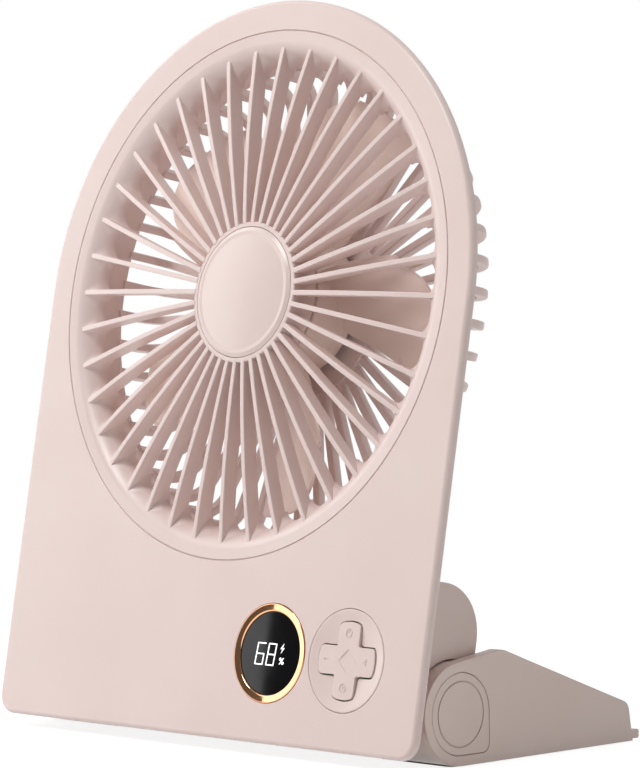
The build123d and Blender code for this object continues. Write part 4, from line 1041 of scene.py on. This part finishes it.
class FAN_OT_controls(Operator):
    """Controls: the bowl-shaped dish and the engraved cross key in it"""

    bl_idname = "fan.controls"
    bl_label = "Controls"

    bowl_floor = 0.5 * MM  # left under the bowl's lowest point
    opening_step = 0.5 * MM  # longest stretch of the opening's outline
    boss_radius, boss_end = 1.0 * MM, 2.45 * MM  # the key's middle, down to its rocker
    plunger_radius, plunger_end = 0.9 * MM, 2.1 * MM  # under each arm, down to its dome
    plunger_place, post_lap = 8.4 * MM, 0.3 * MM
    inner_corner = 0.6 * MM  # between two arms of the key
    sign_stroke, power_gap = 0.32 * MM, radians(32)
    diamond_shift = (0.25 * MM, -0.15 * MM)

    def execute(self, context):
        scene = context.scene
        pan, con = scene.fan_panel, scene.fan_controls
        centre = Matrix.Translation((con.dish, 0, con.rise - pan.drop))
        place = face_frame(pan) @ centre
        self.dish(context, pan, con, place)
        self.key(context, con, place)
        return {"FINISHED"}

    def dish(self, context, pan, con, place):
        bowl = con.dish_radius - con.dish_rim
        sphere = (bowl ** 2 + con.dish_bowl ** 2) / (2 * con.dish_bowl)
        opening = cross_outline(con.reach + con.gap, con.arm + 2 * con.gap, con.key_corner, con.gap * 2)
        opening = subdivided(opening, self.opening_step)
        floor, foot, soft = con.dish_bowl + self.bowl_floor, pan.skin + FLANGE_THICKNESS, pan.softness

        def spread(outline, t):
            """Points part of the way out from the opening to the rim."""
            out = []
            for x, z in outline:
                far = bowl / hypot(x, z)
                out.append((x + (x * far - x) * t, z + (z * far - z) * t))
            return out

        def sink(x, z):
            return con.dish_bowl - sphere + sqrt(sphere ** 2 - x * x - z * z)

        rows = [face_on(opening, floor)]
        for t in (0, 0.04, 0.15, 0.3, 0.45, 0.6, 0.75, 0.9, 1.0):
            rows.append([(x, sink(x, z), z) for x, z in spread(opening, t)])
        rim = spread(opening, 1.0)
        flange = con.dish_radius + FLANGE_WIDTH
        outside = [(con.dish_radius - soft + soft * sin(a), soft - soft * cos(a))
                   for a in (0, pi / 6, pi / 3, pi / 2)]
        outside += [(con.dish_radius, pan.skin), (flange, pan.skin), (flange, foot), (bowl, foot), (bowl, floor)]
        for radius, depth in outside:
            rows.append([(x * radius / bowl, depth, z * radius / bowl) for x, z in rim])
        bm = bmesh.new()
        skin(bm, rows, ring=True)
        finish_piece("control_bowl", bm, place, housing_finish(context), "head",
                     ["control_dish"])

    def key(self, context, con, place):
        top, rear, soft = con.key_top, con.key_top + con.key_thickness, con.key_edge

        def outline(inset):
            return cross_outline(con.reach - inset, con.arm - 2 * inset, con.key_corner - inset,
                                 self.inner_corner + inset)

        bm = bmesh.new()
        edge = [(soft - soft * cos(a), top + soft - soft * sin(a))
                for a in (0, pi / 8, pi / 4, pi * 3 / 8, pi / 2)]
        loops = skin(bm, [face_on(outline(0), rear)] + [face_on(outline(inset), depth) for inset, depth in edge])
        fill(bm, loops[0])
        signs, islands = self.signs(con)
        holes = [self.sunk(bm, con, shape, depth) for shape, depth in signs]
        fill(bm, loops[-1], *holes)
        for rim, insides in islands:
            edge_loop = self.raised(bm, con, rim)
            fill(bm, edge_loop, *[self.sunk(bm, con, inside, con.engraving) for inside in insides])
        out = self.plunger_place
        posts = [(0, 0, self.boss_radius, self.boss_end)]
        posts += [(x, z, self.plunger_radius, self.plunger_end)
                  for x, z in ((out, 0), (0, out), (-out, 0), (0, -out))]
        for x, z, radius, depth in posts:
            skin(bm, [face_on(circle(radius, 20, (x, z)), d) for d in (rear - self.post_lap, depth)],
                 capped=True)
        finish_piece("cross_key_cap", bm, place, housing_finish(context), "cross_key",
                     ["cross_key"])

    def signs(self, con):
        """Engraved outlines in the key's face, and the raised middles of the ring-shaped ones."""
        size, stroke, away = con.icon_size, self.sign_stroke, con.icon_place
        half = stroke / 2
        gap = self.power_gap
        power_ring = arc((0, 0), size, pi / 2 + gap, pi / 2 - gap + FULL_TURN, 28)
        power_ring += arc((0, 0), size - stroke, pi / 2 - gap + FULL_TURN, pi / 2 + gap, 28)
        bar = rectangle((-half, size * 0.1), (half, size * 1.15))
        plus_size = size * 0.75
        plus = []
        for quarter in range(4):
            c, s = cos(quarter * pi / 2), sin(quarter * pi / 2)
            for x, z in ((half, -half), (plus_size, -half), (plus_size, half)):
                plus.append((x * c - z * s, x * s + z * c))
        minus = rectangle((-plus_size, -half), (plus_size, half))
        clock = circle(size, 32)
        dial = circle(size - stroke, 32)
        hands = [(-half, size * 0.55), (-half, -half), (size * 0.5, -half), (size * 0.5, half), (half, half),
                 (half, size * 0.55)]
        d = con.diamond
        diamond = moved([(d, 0), (0, d), (-d, 0), (0, -d)], *self.diamond_shift)
        deep = con.engraving
        signs = [(diamond, con.diamond_depth), (moved(power_ring, 0, away), deep), (moved(bar, 0, away), deep),
                 (moved(plus, away, 0), deep), (moved(minus, -away, 0), deep), (moved(clock, 0, -away), None)]
        return signs, [(moved(dial, 0, -away), [moved(hands, 0, -away)])]

    def sunk(self, bm, con, shape, depth):
        """Recess in the key's face; returns its rim. Without a depth its floor stays open for a raised middle."""
        top, floor = con.key_top, con.key_top + (depth or con.engraving)
        inner = shape
        if depth == con.diamond_depth:
            x, z = (sum(values) / len(shape) for values in zip(*shape))
            kept = 1 - con.diamond_wall * sqrt(2) / con.diamond
            inner = [(x + (px - x) * kept, z + (pz - z) * kept) for px, pz in shape]
        rim, bottom = skin(bm, [face_on(shape, top), face_on(inner, floor)])
        if depth is None:
            self.open_floor = bottom
        else:
            fill(bm, bottom)
        return rim

    def raised(self, bm, con, shape):
        """Raised middle of a ring-shaped sign; returns its rim."""
        rim, bottom = skin(bm, [face_on(shape, con.key_top), face_on(shape, con.key_top + con.engraving)])
        fill(bm, self.open_floor, bottom)
        return rim


# ---- carried-over pieces ----
class FAN_OT_covers_and_base(Operator):
    """Covers and base: the pieces that keep their construction shape, with the mat"""

    bl_idname = "fan.covers_and_base"
    bl_label = "Covers and Base"

    def execute(self, context):
        dress("rear_cover", cover_painted_shade_finish(context))
        # The base and its side caps get the base plastic, darkened as painted shade.
        for node in ("base_shell", "base_bottom_cover", "hinge_side_cap_right", "hinge_side_cap_left"):
            dress(node, base_painted_shade_finish(context))
        dress("foot_mat", rubber_and_painted_shade_finish(context))
        return {"FINISHED"}


def dress(node, material):
    """Give a construction node its finish."""
    slots = frame["nodes"][node].data.materials
    slots.clear()
    slots.append(material)


class FAN_OT_inner_parts(Operator):
    """Inner parts: motor, hinge hardware, cells, boards and screws get their own finishes"""

    bl_idname = "fan.inner_parts"
    bl_label = "Inner Parts"

    def execute(self, context):
        steel = metal("Zinc-plated steel", (0.55, 0.56, 0.57), (0.45, 0.46, 0.48), 0.25, 0.42)
        spring = metal("Spring steel", (0.32, 0.33, 0.36), (0.25, 0.26, 0.3), 0.2, 0.35)
        bright = metal("Ground steel", (0.7, 0.7, 0.7), (0.6, 0.6, 0.62), 0.1, 0.2, line=0.0002)
        zinc = metal("Cast zinc", (0.5, 0.5, 0.52), (0.42, 0.42, 0.45), 0.4, 0.55, stretch=1.0, relief=0.4)
        laminated = metal("Laminated core steel", (0.3, 0.3, 0.32), (0.2, 0.2, 0.22), 0.35, 0.5, line=0.0005)
        bronze = metal("Sintered bronze", (0.42, 0.25, 0.11), (0.33, 0.19, 0.08), 0.4, 0.55, stretch=1.0)
        copper = metal("Enamelled copper", (0.72, 0.28, 0.12), (0.55, 0.18, 0.07), 0.2, 0.3, line=0.0004,
                       relief=0.8)
        nickel = metal("Nickel strip", (0.62, 0.6, 0.56), (0.52, 0.5, 0.47), 0.2, 0.32)
        black = satin_plastic("Black moulding", (0.02, 0.02, 0.022), (0.028, 0.028, 0.03), 0.5)
        ferrite = satin_plastic("Ferrite", (0.035, 0.034, 0.036), (0.055, 0.053, 0.053), 0.7, relief=0.8)
        board = satin_plastic("Circuit board", (0.01, 0.11, 0.045), (0.015, 0.14, 0.06), 0.38, grain=0.001)
        wrap = satin_plastic("Cell wrap", (0.04, 0.16, 0.38), (0.03, 0.12, 0.3), 0.3)
        finishes = {
            steel: ("base_screws", "cover_screws", "motor_screws", "ballast_plate", "rotor_cup", "hinge_nuts"),
            spring: ("hinge_washers", "key_domes", "shaft_clip"),
            bright: ("hinge_pins", "motor_shaft", "charging_socket"),
            zinc: ("motor_base",), laminated: ("stator_core",), bronze: ("motor_bearings",),
            copper: ("motor_windings",), nickel: ("battery_tabs",), black: ("display_module", "key_rocker"),
            ferrite: ("rotor_magnet",), board: ("control_board", "main_board", "motor_board"),
            wrap: ("battery_cells",),
        }
        for material, names in finishes.items():
            for node in names:
                dress(node, material)
        return {"FINISHED"}


# ---- stage ----
class FAN_OT_stage(Operator):
    """Stage: pale floor, soft lights, white surroundings and the camera"""

    bl_idname = "fan.stage"
    bl_label = "Stage"

    aim_height = 0.1  # height of the point that the lights face

    def execute(self, context):
        scene = context.scene
        sta = scene.fan_stage
        self.floor(sta)
        self.surroundings(scene, sta)
        side = self.aimed(sta.side_edge, sta.side_roll)
        side @= Matrix.Translation((-sta.side_width / 2, sta.side_lift, 0))
        self.area_light("Side light", sta.side_power, (sta.side_width, sta.side_height), side)
        self.area_light("Top light", sta.top_power, (sta.top_size, sta.top_size), self.aimed(sta.top_place, 0))
        self.camera(scene, sta)
        scene.view_settings.view_transform = "Standard"
        return {"FINISHED"}

    def floor(self, sta):
        """Pale floor that keeps the fan's shadow and fades to white further out."""
        fade_start, fade_end = 0.22, 0.5
        bm = bmesh.new()
        lathe(bm, [(0, 0), (fade_end, 0), (sta.floor, 0)], 64, ring=False)
        bmesh.ops.rotate(bm, verts=bm.verts, cent=(0, 0, 0), matrix=Matrix.Rotation(pi / 2, 3, "X"))
        material, nodes, shader = new_material("Studio floor")
        nodes.feed(shader, {"Base Color": (0.8, 0.8, 0.8, 1), "Roughness": 0.9, "Specular IOR Level": 0.1})
        seen = nodes.add("ShaderNodeLightPath").outputs
        any_seen = nodes.math("MAXIMUM", nodes.math("MAXIMUM", seen["Is Camera Ray"], seen["Is Glossy Ray"]),
                              seen["Is Transmission Ray"])
        glow = nodes.add("ShaderNodeEmission", {"Color": WHITE, "Strength": sta.glow}).outputs[0]
        veil = nodes.add("ShaderNodeBsdfDiffuse", {"Color": (0.3, 0.3, 0.3, 1)}).outputs[0]
        near = nodes.add("ShaderNodeAddShader", {0: glow, 1: veil}).outputs[0]
        white = nodes.add("ShaderNodeEmission", {"Color": WHITE, "Strength": 1.0}).outputs[0]
        away = nodes.add("ShaderNodeVectorMath", {0: nodes.here()}, operation="LENGTH").outputs["Value"]
        fade = nodes.spread(away, fade_start, fade_end)
        shown = nodes.add("ShaderNodeMixShader", {0: fade, 1: near, 2: white}).outputs[0]
        both = nodes.add("ShaderNodeMixShader", {0: any_seen, 1: shader.outputs[0], 2: shown}).outputs[0]
        nodes.feed(nodes.tree.nodes["Material Output"], {"Surface": both})
        floor = placed("studio_floor", bm, material)

    def surroundings(self, scene, sta):
        """Even light all round, dimmer in front, that the camera and glass see as white."""
        world = bpy.data.worlds.new("Studio")
        scene.world = world
        world.use_nodes = True
        nodes, built = Nodes(world.node_tree), world.node_tree.nodes
        look = nodes.add("ShaderNodeTexCoord").outputs["Generated"]
        dim = (sin(sta.dim_direction), -cos(sta.dim_direction), 0)
        nearness = nodes.add("ShaderNodeVectorMath", {0: look, 1: dim}, operation="DOT_PRODUCT").outputs["Value"]
        strength = nodes.spread(nearness, cos(sta.dim_reach), cos(sta.dim_core), sta.ambient, sta.dim_front,
                                interpolation_type="SMOOTHSTEP")
        nodes.feed(built["Background"], {"Color": WHITE, "Strength": strength})
        white = nodes.add("ShaderNodeBackground", {"Color": WHITE, "Strength": 1.0})
        seen = nodes.add("ShaderNodeLightPath").outputs
        clear = nodes.math("MAXIMUM", seen["Is Camera Ray"], seen["Is Transmission Ray"])
        pick = nodes.add("ShaderNodeMixShader", {0: clear, 1: built["Background"].outputs[0],
                                                 2: white.outputs[0]})
        nodes.feed(built["World Output"], {"Surface": pick.outputs[0]})

    def aimed(self, point, roll):
        """Place at a point, looking at the fan's middle, turned about its own line of sight."""
        sight = Vector((0, 0, self.aim_height)) - Vector(point)
        turned = Matrix.LocRotScale(Vector(point), sight.to_track_quat("-Z", "Y"), None)
        return turned @ Matrix.Rotation(roll, 4, "Z")

    def area_light(self, name, watts, size, matrix):
        light = bpy.data.lights.new(name, "AREA")
        light.shape = "RECTANGLE"
        light.energy = watts
        light.size, light.size_y = size
        lamp = bpy.data.objects.new(name, light)
        bpy.context.scene.collection.objects.link(lamp)
        lamp.matrix_world = matrix

    def camera(self, scene, sta):
        data = bpy.data.cameras.new("Camera")
        data.sensor_width = 36
        data.lens = sta.lens
        data.clip_start = 0.05
        data.clip_end = 20
        camera = bpy.data.objects.new("Camera", data)
        scene.collection.objects.link(camera)
        a, e, roll = sta.azimuth, sta.elevation, sta.roll
        ahead = Vector((-sin(a) * cos(e), cos(a) * cos(e), -sin(e)))
        level, up = Vector((cos(a), sin(a), 0)), Vector((-sin(a) * sin(e), cos(a) * sin(e), cos(e)))
        right = level * cos(roll) + up * sin(roll)
        above = up * cos(roll) - level * sin(roll)
        matrix = Matrix((right, above, -ahead)).transposed().to_4x4()
        matrix.translation = Vector(sta.camera)
        camera.matrix_world = matrix
        scene.camera = camera


class VIEW3D_PT_camping_fan(Panel):
    bl_label = "Camping Fan"
    bl_idname = "VIEW3D_PT_camping_fan"
    bl_space_type = "VIEW_3D"
    bl_region_type = "UI"
    bl_category = "Camping Fan"

    def draw(self, context):
        for maker in MAKERS:
            self.layout.operator(maker.bl_idname)


SETTINGS = {
    "fan_panel": FanPanelSizes, "fan_grille": FanGrilleSizes, "fan_rear": FanRearSizes,
    "fan_impeller": FanImpellerSizes, "fan_controls": FanControlSizes, "fan_base": FanBaseSizes,
    "fan_finishes": FanFinishes, "fan_stage": FanStageSettings,
}
MAKERS = (
    FAN_OT_front_panel, FAN_OT_front_grille, FAN_OT_hub_cap, FAN_OT_impeller, FAN_OT_rear_grille,
    FAN_OT_rear_cap, FAN_OT_display, FAN_OT_controls, FAN_OT_covers_and_base, FAN_OT_inner_parts, FAN_OT_stage,
)


def register():
    for name, group in SETTINGS.items():
        bpy.utils.register_class(group)
        setattr(bpy.types.Scene, name, PointerProperty(type=group))
    for maker in MAKERS:
        bpy.utils.register_class(maker)
    bpy.utils.register_class(VIEW3D_PT_camping_fan)


def unregister():
    bpy.utils.unregister_class(VIEW3D_PT_camping_fan)
    for maker in reversed(MAKERS):
        bpy.utils.unregister_class(maker)
    for name, group in reversed(SETTINGS.items()):
        delattr(bpy.types.Scene, name)
        bpy.utils.unregister_class(group)


def main():
    register()
    for maker in MAKERS:
        group, name = maker.bl_idname.split(".")
        getattr(getattr(bpy.ops, group), name)()


if __name__ == "__main__":
    main()
